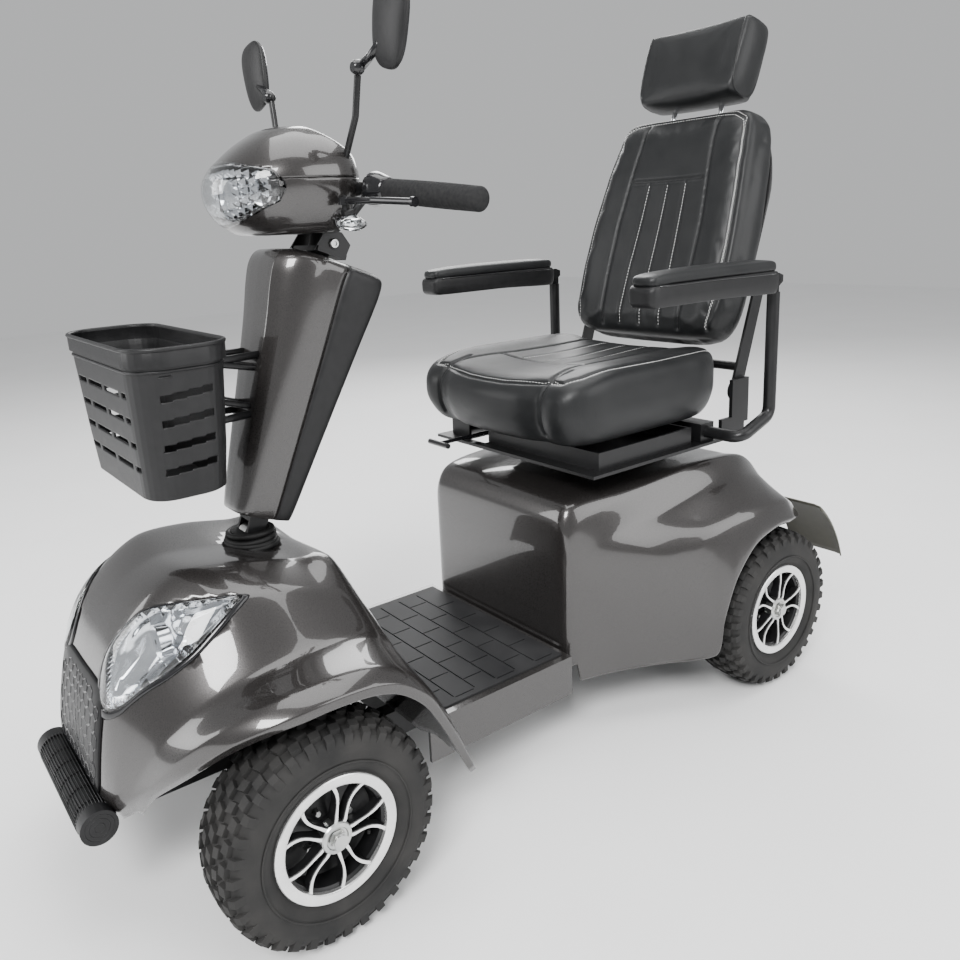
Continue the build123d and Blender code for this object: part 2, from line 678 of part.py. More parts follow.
for side, name in ((1, "brake_lever"), (-1, "throttle_lever")):
    with BuildPart() as lever:
        rod((side * 122, 215, 1005), (side * 122, 215, 1016), 9)
        bent_rod([(side * 122, 215, 1010.5), (side * 190, 222, 1008), (side * 268, 236, 1002)], 60, 5)
        rod((side * 268, 236, 1002), (side * 274, 237, 1001.5), 7)
        rod((side * 122, 215, 990), (side * 122, 215, 1020), 4 + RUN_GAP, mode=Mode.SUBTRACT)
    lever.part.label = name
    export_step(lever.part, f"parts/{name}.step")

with BuildPart() as indicators:
    for side, _ in SIDES:
        block(side * 91, side * 115, 216, 262, 968, 990)
    fillet(indicators.edges().filter_by(Axis.Z), 9)
indicators.part.label = "indicators"
export_step(indicators.part, "parts/indicators.step")

# --- mirrors -----------------------------------------------------------------------
with BuildPart() as mirror_stems:
    for side, _ in SIDES:
        bent_rod([(side * 86, 239, 1061), (side * 130, 240, 1127), (side * 142, 242, 1186)], 20, 5)
        with Locations((side * 142, aft(242), 1190)):
            Sphere(8)
mirror_stems.part.label = "mirror_stems"
export_step(mirror_stems.part, "parts/mirror_stems.step")

for side, name in SIDES:
    with BuildPart() as mirror:
        with BuildSketch(Plane.XZ.offset(-aft(258))) as oval:
            with Locations((side * 216, 1235)):
                Ellipse(42, 58, rotation=side * -12)
        extrude(oval.sketch, amount=18)
        rod((side * 151.5, 243, 1194.5), (side * 184, 248, 1208), 5)
    mirror.part.label = f"mirror_{name}"
    export_step(mirror.part, f"parts/mirror_{name}.step")

# --- seat post, turntable and slide --------------------------------------------------
with BuildPart() as seat_post:
    rod((0, SEAT_D, 160), (0, SEAT_D, 452), POST_R)
    rod((0, SEAT_D, 440), (0, SEAT_D, 452), 44)
    rod((0, SEAT_D, 330), (0, SEAT_D, 453), 18 + RUN_GAP, mode=Mode.SUBTRACT)
seat_post.part.label = "seat_post"
export_step(seat_post.part, "parts/seat_post.step")

with BuildPart() as turntable:
    with BuildSketch(Plane.XZ.offset(-aft(SEAT_D))):
        Polygon(
            (0, 335), (18, 335), (18, 453), (46, 453), (46, 487), (72, 498), (72, 503), (0, 503),
            align=None,
        )
    revolve(axis=Axis((0, aft(SEAT_D), 0), (0, 0, 1)))
    block(-84, 84, 690, 950, 499, 505)
    for side, _ in SIDES:
        block(side * 62, side * 78, 690, 950, 504, 514)
turntable.part.label = "seat_turntable"
export_step(turntable.part, "parts/seat_turntable.step")

with BuildPart() as seat_frame:
    block(-236, 236, 610, 985, 516, 522)
    for side, _ in SIDES:
        block(side * 56, side * 60.5, 640, 985, 507, 517)
        block(side * 79.5, side * 84, 640, 985, 507, 517)
        block(side * 228, side * 236, 975, 1050, 516, 560)
        block(side * 228, side * 236, 1008, 1062, 545, 636)
        rod((side * 214, BACK_PIVOT[0], 610), (side * 228, BACK_PIVOT[0], 610), 7)
        block(side * 60, side * 226, 922, 962, 522, 559)
        rod((side * 100, 942, 541), (side * 230, 942, 541), ARM_TUBE_R + RUN_GAP, mode=Mode.SUBTRACT)
    block(-220, 220, 640, 900, 522, 556)
    block(-214, 214, 646, 894, 527, 560, mode=Mode.SUBTRACT)
    block(-160, -95, 630, 770, 510, 560, mode=Mode.SUBTRACT)
    for x in (-35, 35):
        for d in (700, 860):
            rod((x, d, 515), (x, d, 523), 4.2, mode=Mode.SUBTRACT)
seat_frame.part.label = "seat_frame"
export_step(seat_frame.part, "parts/seat_frame.step")

with BuildPart() as slide_lever:
    rod((-128, 765, 533), (-128, 540, 533), 4)
    rod((-160, 536, 533), (-96, 536, 533), 5.5)
    rod((-140, 765, 533), (-116, 765, 533), 7)
slide_lever.part.label = "slide_lever"
export_step(slide_lever.part, "parts/slide_lever.step")

# --- cushions -----------------------------------------------------------------------
with BuildPart() as seat_cushion:
    block(-246, 246, 548, 995, 562, 706)
    fillet(seat_cushion.edges().filter_by(Axis.Z), 60)
    fillet(seat_cushion.edges().group_by(Axis.Z)[-1], 34)
    fillet(seat_cushion.edges().group_by(Axis.Z)[0], 22)
seat_cushion.part.label = "seat_cushion"
export_step(seat_cushion.part, "parts/seat_cushion.step")

with BuildPart() as back_frame:
    for side, _ in SIDES:
        with BuildSketch(Plane.YZ.offset(min(side * 218, side * 224))) as plate:
            Polygon(
                (aft(1017), 600), (aft(1053), 600), (aft(1128), 830), (aft(1100), 842),
                align=None,
            )
        extrude(plate.sketch, amount=6)
        rod((side * 218, BACK_PIVOT[0], 610), (side * 224, BACK_PIVOT[0], 610), 20)
        rod(
            (side * 200, BACK_PIVOT[0], 610),
            (side * 226, BACK_PIVOT[0], 610),
            7 + RUN_GAP,
            mode=Mode.SUBTRACT,
        )
    rod((-219, 1056, 655), (219, 1056, 655), 9)
back_frame.part.label = "back_frame"
export_step(back_frame.part, "parts/back_frame.step")

with BuildPart() as backrest:
    with BuildSketch(BACK.offset(55)):
        RectangleRounded(420, 100, 30)
    with BuildSketch(BACK.offset(250)):
        RectangleRounded(430, 100, 34)
    with BuildSketch(BACK.offset(545)):
        RectangleRounded(360, 84, 34)
    loft()
    fillet(backrest.edges().group_by(Axis.Z)[-1], 22)
    for side, _ in SIDES:
        rod(
            along(BACK, side * 62, 0, 400),
            along(BACK, side * 62, 0, 560),
            6 + RUN_GAP,
            mode=Mode.SUBTRACT,
        )
backrest.part.label = "backrest_cushion"
export_step(backrest.part, "parts/backrest_cushion.step")

with BuildPart() as headrest_posts:
    for side, _ in SIDES:
        rod(along(BACK, side * 62, 0, 440), along(BACK, side * 62, 0, 640), 6)
headrest_posts.part.label = "headrest_posts"
export_step(headrest_posts.part, "parts/headrest_posts.step")

with BuildPart() as headrest:
    with BuildSketch(BACK.offset(560)):
        with Locations((0, -18)):
            RectangleRounded(276, 92, 30)
    extrude(amount=168)
    for side, _ in SIDES:
        rod(
            along(BACK, side * 62, 0, 555),
            along(BACK, side * 62, 0, 641),
            6 + RUN_GAP,
            mode=Mode.SUBTRACT,
        )
headrest.part.label = "headrest_cushion"
export_step(headrest.part, "parts/headrest_cushion.step")

with BuildPart() as recline_lever:
    rod((-238, BACK_PIVOT[0], 610), (-250, BACK_PIVOT[0], 610), 16)
    with BuildSketch(Plane.YZ.offset(-255)) as paddle:
        Polygon(
            (aft(1030), 622), (aft(1040), 598), (aft(1002), 585), (aft(930), 600),
            (aft(926), 614), (aft(1000), 606),
            align=None,
        )
    extrude(paddle.sketch, amount=6)
recline_lever.part.label = "recline_lever"
export_step(recline_lever.part, "parts/recline_lever.step")

# --- arms ---------------------------------------------------------------------------
for side, name in SIDES:
    with BuildPart() as arm_frame:
        bent_rod(
            [
                (side * 110, 942, 541), (side * ARM_X, 942, 541),
                (side * ARM_X, ARM_PIVOT[0], 572), (side * ARM_X, ARM_PIVOT[0], 812),
            ],
            24,
            ARM_TUBE_R,
        )
        block(side * 298, side * 308, 1023, 1043, 806, 836)
        rod((side * 298, *ARM_PIVOT), (side * 308, *ARM_PIVOT), 10)
        rod((side * 287, *ARM_PIVOT), (side * 319, *ARM_PIVOT), 5)
    arm_frame.part.label = f"arm_frame_{name}"
    export_step(arm_frame.part, f"parts/arm_frame_{name}.step")
    with BuildPart() as armrest:
        block(side * 273, side * 333, 650, 1014, 816, 876)
        fillet(armrest.edges().filter_by(Axis.Z), 24)
        fillet(armrest.edges().group_by(Axis.Z)[-1], 10)
        for x0, x1 in ((289, 295), (311, 317)):
            block(side * x0, side * x1, 1012, 1033, 824, 848)
            rod((side * x0, *ARM_PIVOT), (side * x1, *ARM_PIVOT), 12)
        rod((side * 285, *ARM_PIVOT), (side * 321, *ARM_PIVOT), 5 + RUN_GAP, mode=Mode.SUBTRACT)
    armrest.part.label = f"armrest_{name}"
    export_step(armrest.part, f"parts/armrest_{name}.step")
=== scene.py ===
import json
import math
import bpy
import bmesh
import numpy as np
from mathutils import Matrix, Vector
from mathutils.bvhtree import BVHTree
from mathutils.kdtree import KDTree

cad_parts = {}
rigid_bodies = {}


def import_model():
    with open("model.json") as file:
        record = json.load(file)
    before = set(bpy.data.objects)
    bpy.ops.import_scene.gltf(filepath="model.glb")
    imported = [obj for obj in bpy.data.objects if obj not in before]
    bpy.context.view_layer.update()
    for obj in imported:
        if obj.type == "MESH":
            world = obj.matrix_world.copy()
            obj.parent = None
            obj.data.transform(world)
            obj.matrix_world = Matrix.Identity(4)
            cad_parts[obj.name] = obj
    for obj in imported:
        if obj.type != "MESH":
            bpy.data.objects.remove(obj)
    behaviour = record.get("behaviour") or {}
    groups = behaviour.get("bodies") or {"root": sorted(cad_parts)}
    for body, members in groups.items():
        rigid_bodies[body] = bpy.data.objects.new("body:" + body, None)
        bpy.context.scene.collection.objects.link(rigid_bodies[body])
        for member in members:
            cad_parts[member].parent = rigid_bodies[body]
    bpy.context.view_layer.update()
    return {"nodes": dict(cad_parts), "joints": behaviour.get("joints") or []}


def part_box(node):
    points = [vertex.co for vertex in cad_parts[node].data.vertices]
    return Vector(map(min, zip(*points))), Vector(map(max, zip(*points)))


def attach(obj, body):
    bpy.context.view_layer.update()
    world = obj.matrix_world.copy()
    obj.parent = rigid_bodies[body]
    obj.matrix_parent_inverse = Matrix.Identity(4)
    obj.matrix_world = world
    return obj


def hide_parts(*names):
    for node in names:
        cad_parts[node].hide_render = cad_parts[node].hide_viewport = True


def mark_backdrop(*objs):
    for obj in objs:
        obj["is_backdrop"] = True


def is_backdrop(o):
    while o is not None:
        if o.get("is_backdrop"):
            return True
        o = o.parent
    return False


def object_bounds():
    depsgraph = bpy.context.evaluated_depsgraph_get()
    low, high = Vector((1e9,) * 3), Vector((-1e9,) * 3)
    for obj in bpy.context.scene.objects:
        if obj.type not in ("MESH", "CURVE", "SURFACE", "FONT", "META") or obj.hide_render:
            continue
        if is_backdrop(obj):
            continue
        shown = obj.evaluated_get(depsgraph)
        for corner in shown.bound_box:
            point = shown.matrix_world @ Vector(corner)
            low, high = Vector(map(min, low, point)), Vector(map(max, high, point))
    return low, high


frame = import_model()
joints = {j["name"]: j for j in frame["joints"]}
AXLE_Y = joints["wheel_front_left_spin"]["pos_m"][1] * 1000
WHEEL_X = joints["wheel_front_left_spin"]["pos_m"][0] * 1000
WHEEL_Z = joints["wheel_front_left_spin"]["pos_m"][2] * 1000
WHEELBASE = joints["wheel_rear_left_spin"]["pos_m"][1] * 1000 - AXLE_Y
TILT_D = joints["tiller_tilt"]["pos_m"][1] * 1000 - AXLE_Y
TILT_Z = joints["tiller_tilt"]["pos_m"][2] * 1000
SIDES = ((1, "left"), (-1, "right"))


def world(point):
    """Metres in the frame from (x, distance behind the front axle, z) in mm."""
    return Vector((point[0] / 1000, (point[1] + AXLE_Y) / 1000, point[2] / 1000))


# ---------------------------------------------------------------- materials
def material(name, dark, light, rough=(0.3, 0.4), metallic=0.0, scale=30.0, bump=0.0, coat=0.0, detail=4.0,
        bump_scale=None, specular=0.5, transmission=0.0):
    mat = bpy.data.materials.new(name)
    mat.use_nodes = True
    nt = mat.node_tree
    shader = nt.nodes["Principled BSDF"]
    coords = nt.nodes.new("ShaderNodeTexCoord")
    noise = nt.nodes.new("ShaderNodeTexNoise")
    noise.inputs["Scale"].default_value = scale
    noise.inputs["Detail"].default_value = detail
    nt.links.new(coords.outputs["Object"], noise.inputs["Vector"])
    ramp = nt.nodes.new("ShaderNodeValToRGB")
    ramp.color_ramp.elements[0].position = 0.3
    ramp.color_ramp.elements[1].position = 0.7
    ramp.color_ramp.elements[0].color = (*dark, 1)
    ramp.color_ramp.elements[1].color = (*light, 1)
    nt.links.new(noise.outputs["Fac"], ramp.inputs["Fac"])
    nt.links.new(ramp.outputs["Color"], shader.inputs["Base Color"])
    spread = nt.nodes.new("ShaderNodeMapRange")
    spread.inputs["To Min"].default_value = rough[0]
    spread.inputs["To Max"].default_value = rough[1]
    nt.links.new(noise.outputs["Fac"], spread.inputs["Value"])
    nt.links.new(spread.outputs["Result"], shader.inputs["Roughness"])
    shader.inputs["Metallic"].default_value = metallic
    shader.inputs["Coat Weight"].default_value = coat
    shader.inputs["Coat Roughness"].default_value = 0.04
    shader.inputs["Specular IOR Level"].default_value = specular
    shader.inputs["Transmission Weight"].default_value = transmission
    if bump:
        grain = nt.nodes.new("ShaderNodeTexNoise")
        grain.inputs["Scale"].default_value = bump_scale or scale * 10
        grain.inputs["Detail"].default_value = 6.0
        nt.links.new(coords.outputs["Object"], grain.inputs["Vector"])
        raised = nt.nodes.new("ShaderNodeBump")
        raised.inputs["Strength"].default_value = bump
        raised.inputs["Distance"].default_value = 0.0006
        nt.links.new(grain.outputs["Fac"], raised.inputs["Height"])
        nt.links.new(raised.outputs["Normal"], shader.inputs["Normal"])
    return mat


GRAPHITE = material("graphite", (0.022, 0.020, 0.0195), (0.036, 0.033, 0.032), (0.24, 0.32), 0.5, 900,
    coat=1.0)
BLACK_GLOSS = material("black_gloss", (0.006, 0.006, 0.007), (0.010, 0.010, 0.011), (0.14, 0.22), 0.0, 40,
    coat=0.3, specular=0.35)
GRILLE_BLACK = material("grille_black", (0.0025, 0.0025, 0.003), (0.005, 0.005, 0.0055), (0.3, 0.42), 0.0,
    50, specular=0.15)
BLACK_PLASTIC = material("black_plastic", (0.006, 0.006, 0.0065), (0.010, 0.010, 0.0105), (0.38, 0.5), 0.0,
    60, 0.25, bump_scale=900, specular=0.3)
FRAME_BLACK = material("frame_black", (0.006, 0.006, 0.0065), (0.010, 0.010, 0.0105), (0.3, 0.42), 0.1, 50,
    0.1, specular=0.35)
ZINC = material("zinc", (0.42, 0.43, 0.43), (0.58, 0.58, 0.56), (0.22, 0.38), 1.0, 45, 0.1)
ALLOY = material("machined_alloy", (0.72, 0.72, 0.72), (0.86, 0.86, 0.85), (0.2, 0.32), 0.9, 25)
RUBBER = material("rubber", (0.006, 0.006, 0.006), (0.011, 0.011, 0.011), (0.5, 0.65), 0.0, 50, 0.3,
    bump_scale=700, specular=0.25)
TYRE = material("tyre_rubber", (0.014, 0.014, 0.014), (0.030, 0.029, 0.028), (0.6, 0.85), 0.0, 18, 0.4,
    bump_scale=500, specular=0.2)
LEATHER = material("leather", (0.007, 0.0075, 0.008), (0.011, 0.0115, 0.012), (0.36, 0.48), 0.0, 22, 0.35,
    bump_scale=420, specular=0.3)
THREAD = material("thread", (0.5, 0.5, 0.49), (0.7, 0.7, 0.69), (0.6, 0.8), 0.0, 300)
CHROME = material("chrome", (0.75, 0.76, 0.78), (0.9, 0.91, 0.92), (0.05, 0.14), 1.0, 30)
OLIVE = material("olive_panel", (0.055, 0.053, 0.042), (0.072, 0.069, 0.056), (0.42, 0.55), 0.2, 60, 0.1)
MAT_RUBBER = material("mat_rubber", (0.012, 0.012, 0.013), (0.026, 0.026, 0.027), (0.45, 0.7), 0.0, 14, 0.3,
    bump_scale=500, specular=0.3)
GLASS = material("clear_lens", (0.92, 0.94, 0.96), (0.98, 0.99, 1.0), (0.0, 0.03), 0.0, 30, transmission=1.0)
MIRROR = material("mirror_pane", (0.8, 0.8, 0.82), (0.9, 0.9, 0.92), (0.01, 0.03), 1.0, 20)
FOAM = material("grip_foam", (0.012, 0.012, 0.013), (0.022, 0.022, 0.022), (0.75, 0.92), 0.0, 200, 0.6,
    bump_scale=1500, specular=0.15)


# ------------------------------------------------------------ mesh helpers
def mesh_object(name, verts, faces, mat, smooth=True, crease_deg=None):
    """A linked mesh from points in metres."""
    data = bpy.data.meshes.new(name)
    data.from_pydata([tuple(v) for v in verts], [], [tuple(f) for f in faces])
    data.materials.append(mat)
    data.validate()
    for p in data.polygons:
        p.use_smooth = smooth
    if crease_deg is not None:
        data.set_sharp_from_angle(angle=math.radians(crease_deg))
    obj = bpy.data.objects.new(name, data)
    bpy.context.collection.objects.link(obj)
    return obj


def fix_normals(obj):
    """Welds matching points and turns the faces outward."""
    bm = bmesh.new()
    bm.from_mesh(obj.data)
    bmesh.ops.remove_doubles(bm, verts=bm.verts, dist=1e-6)
    bmesh.ops.recalc_face_normals(bm, faces=bm.faces)
    bm.to_mesh(obj.data)
    bm.free()
    return obj


def clean(obj, cap=None, outward=True):
    """Closes the loop of points numbered in cap, drops loose points and turns the faces outward."""
    bm = bmesh.new()
    bm.from_mesh(obj.data)
    if cap is not None:
        bm.verts.ensure_lookup_table()
        bm.faces.new([bm.verts[k] for k in cap])
    bmesh.ops.delete(bm, geom=[v for v in bm.verts if not v.link_faces], context="VERTS")
    if outward:
        bmesh.ops.recalc_face_normals(bm, faces=bm.faces)
    bm.to_mesh(obj.data)
    bm.free()


def slab(name, near, far, mat):
    """Flat plate between two matching outlines, in metres."""
    n = len(near)
    faces = [tuple(range(n)), tuple(range(2 * n - 1, n - 1, -1))]
    faces += [(k, n + k, n + (k + 1) % n, (k + 1) % n) for k in range(n)]
    return fix_normals(mesh_object(name, near + far, faces, mat, smooth=False))


def place(obj, body, nodes=()):
    """Hands a finished piece to the frame: its body, and hides the CAD nodes it stands for."""
    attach(obj, body)
    if nodes:
        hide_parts(*nodes)
    return obj


def spline(points, count, closed=False, soft=1.0):
    """Smooth curve through points on axis 0, count samples to a span; a low soft makes tight creases."""
    pts = np.asarray(points, float)
    n = len(pts)
    if closed:
        ext = np.concatenate([pts[-1:], pts, pts[:2]])
        spans = n
    else:
        ext = np.concatenate([2 * pts[:1] - pts[1:2], pts, 2 * pts[-1:] - pts[-2:-1]])
        spans = n - 1
    out = []
    for i in range(spans):
        a, b, c, d = ext[i], ext[i + 1], ext[i + 2], ext[i + 3]
        for k in range(count):
            t = k / count
            leave, arrive = 0.5 * soft * (c - a), 0.5 * soft * (d - b)
            out.append(b + leave * t + (3 * (c - b) - 2 * leave - arrive) * t * t
                + (2 * (b - c) + leave + arrive) * t ** 3)
    if not closed:
        out.append(pts[-1])
    return np.array(out)


def grid_faces(rows, cols, keep=None, wrap=False):
    """Quads over a grid of points, row by row; keep(i, j) says which cells stay."""
    faces = []
    for i in range(rows - 1):
        for j in range(cols if wrap else cols - 1):
            k = (j + 1) % cols
            if keep is None or keep(i, j):
                faces.append((i * cols + j, i * cols + k, (i + 1) * cols + k, (i + 1) * cols + j))
    return faces


def thicken(obj, amount, offset=-1.0):
    mod = obj.modifiers.new("wall", "SOLIDIFY")
    mod.thickness = amount
    mod.offset = offset
    apply_modifiers(obj)


def apply_modifiers(obj):
    bpy.context.view_layer.update()
    graph = bpy.context.evaluated_depsgraph_get()
    data = bpy.data.meshes.new_from_object(obj.evaluated_get(graph))
    obj.modifiers.clear()
    old = obj.data
    obj.data = data
    bpy.data.meshes.remove(old)


def tube(name, points, radius, mat, sides=12, closed=False, smooth=True, cap=True):
    """Round tube along points (mm, world layout); radius may be a list."""
    pts = np.array([list(world(p)) for p in points])
    n = len(pts)
    radii = np.broadcast_to(np.asarray(radius, float) / 1000, (n,))
    tangents = np.gradient(pts, axis=0)
    if closed:
        tangents = np.roll(pts, -1, 0) - np.roll(pts, 1, 0)
    tangents /= np.linalg.norm(tangents, axis=1)[:, None]
    ref = np.array([0, 0, 1.0]) if abs(tangents[0][2]) < 0.9 else np.array([0, 1.0, 0])
    verts = []
    side = np.cross(tangents[0], ref)
    for p, t, r in zip(pts, tangents, radii):
        side = side - t * np.dot(side, t)
        side /= np.linalg.norm(side)
        up = np.cross(side, t)
        for k in range(sides):
            a = 2 * math.pi * k / sides
            verts.append(p + r * (math.cos(a) * side + math.sin(a) * up))
    faces = grid_faces(n, sides, wrap=True)
    if closed:
        last = (n - 1) * sides
        faces += [(last + j, last + (j + 1) % sides, (j + 1) % sides, j) for j in range(sides)]
    elif cap:
        faces += [tuple(range(sides))[::-1], tuple((n - 1) * sides + k for k in range(sides))]
    return mesh_object(name, verts, faces, mat, smooth)


def lathe(name, profile, mat, centre, axis="x", turns=96, closed=True, crease=35):
    """Solid of revolution: profile is (along, radius) in mm about centre (mm, world layout)."""
    c = world(centre)
    verts = []
    for u, r in profile:
        for k in range(turns):
            a = 2 * math.pi * k / turns
            if axis == "x":
                verts.append((c.x + u / 1000, c.y + r / 1000 * math.cos(a), c.z + r / 1000 * math.sin(a)))
            elif axis == "y":
                verts.append((c.x + r / 1000 * math.cos(a), c.y + u / 1000, c.z + r / 1000 * math.sin(a)))
            else:
                verts.append((c.x + r / 1000 * math.cos(a), c.y + r / 1000 * math.sin(a), c.z + u / 1000))
    n = len(profile)
    faces = grid_faces(n, turns, wrap=True)
    if closed:
        last = (n - 1) * turns
        faces += [(last + j, last + (j + 1) % turns, (j + 1) % turns, j) for j in range(turns)]
    obj = mesh_object(name, verts, faces, mat)
    fix_normals(obj)
    obj.data.set_sharp_from_angle(angle=math.radians(crease))
    return obj


def join(objs, name):
    """One object of several, keeping their materials."""
    for o in bpy.context.view_layer.objects:
        o.select_set(False)
    for o in objs:
        o.select_set(True)
    bpy.context.view_layer.objects.active = objs[0]
    bpy.ops.object.join()
    objs[0].name = name
    return objs[0]


# ------------------------------------------------------------ body surfaces
class Surface:
    """Smooth skin through longitudinal curves from the centre line to the left lip, mirrored."""

    def __init__(self, curves, across=8, along=8, soft=(0.5, 0.85)):
        left = np.array(curves, float)
        right = left[:0:-1] * np.array([-1, 1, 1])
        self.control = np.concatenate([right, left])
        self.across, self.along = across, along
        rows = spline(self.control, across, soft=soft[0])
        self.points = spline(rows.transpose(1, 0, 2), along, soft=soft[1]).transpose(1, 0, 2)

    def at(self, u, v):
        """Point at control coordinates: u across from the centre line, v along."""
        mid = (len(self.control) - 1) / 2
        i = np.clip((u + mid) * self.across, 0, len(self.points) - 1.001)
        j = np.clip(v * self.along, 0, self.points.shape[1] - 1.001)
        i0, j0 = int(i), int(j)
        fi, fj = i - i0, j - j0
        p = self.points
        return ((1 - fi) * (1 - fj) * p[i0, j0] + fi * (1 - fj) * p[i0 + 1, j0]
            + (1 - fi) * fj * p[i0, j0 + 1] + fi * fj * p[i0 + 1, j0 + 1])

    def normal(self, u, v):
        du = self.at(u + 0.12, v) - self.at(u - 0.12, v)
        dv = self.at(u, v + 0.12) - self.at(u, v - 0.12)
        n = np.cross(du, dv)
        return n / (np.linalg.norm(n) + 1e-9)

    def skin(self, name, mat, wall, hole=None):
        rows, cols = self.points.shape[:2]
        mid = (len(self.control) - 1) / 2
        keep = None
        if hole:
            keep = lambda i, j: not hole((i + 0.5) / self.across - mid, (j + 0.5) / self.along)
        verts = [world(p) for p in self.points.reshape(-1, 3)]
        obj = mesh_object(name, verts, grid_faces(rows, cols, keep), mat)
        clean(obj, outward=False)
        thicken(obj, wall / 1000, 1.0)
        return obj

    def patch(self, name, mat, outline, rings, wall=1.5):
        """Panel over a region: outline in (u, v), rings of (scale, lift mm)."""
        edge = spline(np.array(outline, float), 6, closed=True)
        centre = edge.mean(axis=0)
        verts = []
        for scale, lift in rings:
            for e in edge:
                u, v = centre + scale * (e - centre)
                verts.append(world(self.at(u, v) + lift * self.normal(u, v)))
        n = len(edge)
        faces = grid_faces(len(rings), n, wrap=True)
        if rings[-1][0] < 0.3:
            faces.append(tuple((len(rings) - 1) * n + k for k in range(n)))
        obj = mesh_object(name, verts, faces, mat)
        if wall:
            thicken(obj, wall / 1000, 0.0)
        return obj


def inside(outline):
    poly = np.array(outline, float)

    def test(u, v):
        hit = False
        for (x1, y1), (x2, y2) in zip(poly, np.roll(poly, -1, 0)):
            if (y1 > v) != (y2 > v) and u < (x2 - x1) * (v - y1) / (y2 - y1) + x1:
                hit = not hit
        return hit
    return test


# ------------------------------------------------------------ front shroud
NOSE = Surface([[(0, -226, 168), (0, -242, 228), (0, -224, 340), (0, -192, 424), (0, -146, 478),
    (0, -92, 503), (0, -10, 496), (0, 70, 478), (0, 134, 472), (0, 176, 392), (0, 210, 290), (0, 236, 165)],
    [(84, -226, 168), (104, -242, 226), (104, -222, 340), (100, -190, 424), (100, -140, 480),
    (106, -84, 508), (118, -6, 503), (126, 72, 488), (130, 134, 478), (135, 172, 395), (140, 205, 290),
    (145, 236, 165)], [(118, -220, 176), (138, -232, 226), (142, -208, 332), (150, -172, 398),
    (162, -112, 446), (172, -54, 474), (182, 12, 476), (190, 78, 458), (194, 134, 434), (197, 172, 376),
    (200, 205, 280), (205, 236, 165)], [(130, -212, 184), (160, -218, 230), (198, -186, 306),
    (224, -152, 346), (238, -110, 372), (248, -54, 392), (254, 12, 402), (252, 80, 400), (248, 134, 386),
    (247, 174, 346), (250, 207, 268), (255, 231, 184)], [(138, -206, 190), (178, -206, 238),
    (238, -178, 300), (280, -142, 346), (304, -98, 372), (318, -48, 387), (325, 15, 393), (328, 80, 388),
    (329, 126, 370), (331, 168, 328), (335, 204, 260), (339, 232, 178)],
    [(143, -202, 190), (188, -196, 238), (254, -166, 294), (302, -126, 338), (330, -84, 360),
    (345, -40, 372), (350, 15, 377), (350, 75, 372), (350, 120, 356), (350, 162, 318), (350, 198, 252),
    (350, 234, 170)], [(140, -198, 184), (184, -190, 230), (250, -158, 284), (298, -118, 326),
    (328, -74, 348), (345, -34, 358), (351, 15, 363), (351, 72, 358), (351, 114, 342), (351, 153, 306),
    (351, 188, 244), (350, 224, 168)],])
LAMP = [(0.9, 2.1), (0.72, 2.5), (0.8, 3.0), (1.02, 3.55), (1.4, 4.15), (1.75, 4.75), (1.92, 5.25),
    (2.02, 5.38), (2.17, 5.1), (2.3, 4.5), (2.36, 3.85), (2.3, 3.15), (2.05, 2.45), (1.45, 2.08)]
GRILLE = [(-1.0, 0.9), (-1.12, 1.6), (-0.98, 2.25), (0, 2.35), (0.98, 2.25), (1.12, 1.6), (1.0, 0.9),
    (0, 0.75)]


def lamp_side(side):
    return [(side * u, v) for u, v in LAMP]


lamp_holes = [inside([(side * (1.63 + 0.95 * (u - 1.63)), 3.7 + 0.95 * (v - 3.7)) for u, v in LAMP])
    for side, _ in SIDES]


def nose_hole(u, v):
    p = NOSE.at(u, v)
    near_boot = v > 5 and v < 8.6 and math.hypot(p[0], p[1] - TILT_D) < 40
    return near_boot or any(test(u, v) for test in lamp_holes)


shroud = NOSE.skin("shroud_skin", GRAPHITE, 4.0, nose_hole)
place(shroud, "chassis", ["front_shroud"])
grille = NOSE.patch("grille_panel", GRILLE_BLACK, GRILLE, [(1.0, 0.6), (0.94, 2.4), (0.6, 2.6), (0.2, 2.8)])
in_grille = inside([(0.9 * u, 1.57 + 0.88 * (v - 1.57)) for u, v in GRILLE])
cells = []
for row in range(9):
    for column in range(-5, 6):
        u0, v0 = (column + 0.5 * (row % 2)) * 0.2, 0.9 + 0.17 * row
        corners = [(u0 + 0.105 * math.sin(math.pi * k / 3), v0 + 0.105 * math.cos(math.pi * k / 3))
            for k in range(6)]
        if all(in_grille(u, v) for u, v in corners):
            cells.append(tube(f"cell{row}_{column}", [NOSE.at(u, v) + 2.9 * NOSE.normal(u, v) for u,
                v in corners], 0.9, BLACK_GLOSS, 6, closed=True, smooth=False))
grille = join([grille] + cells, "grille_panel")
place(grille, "chassis", ["front_grille"])

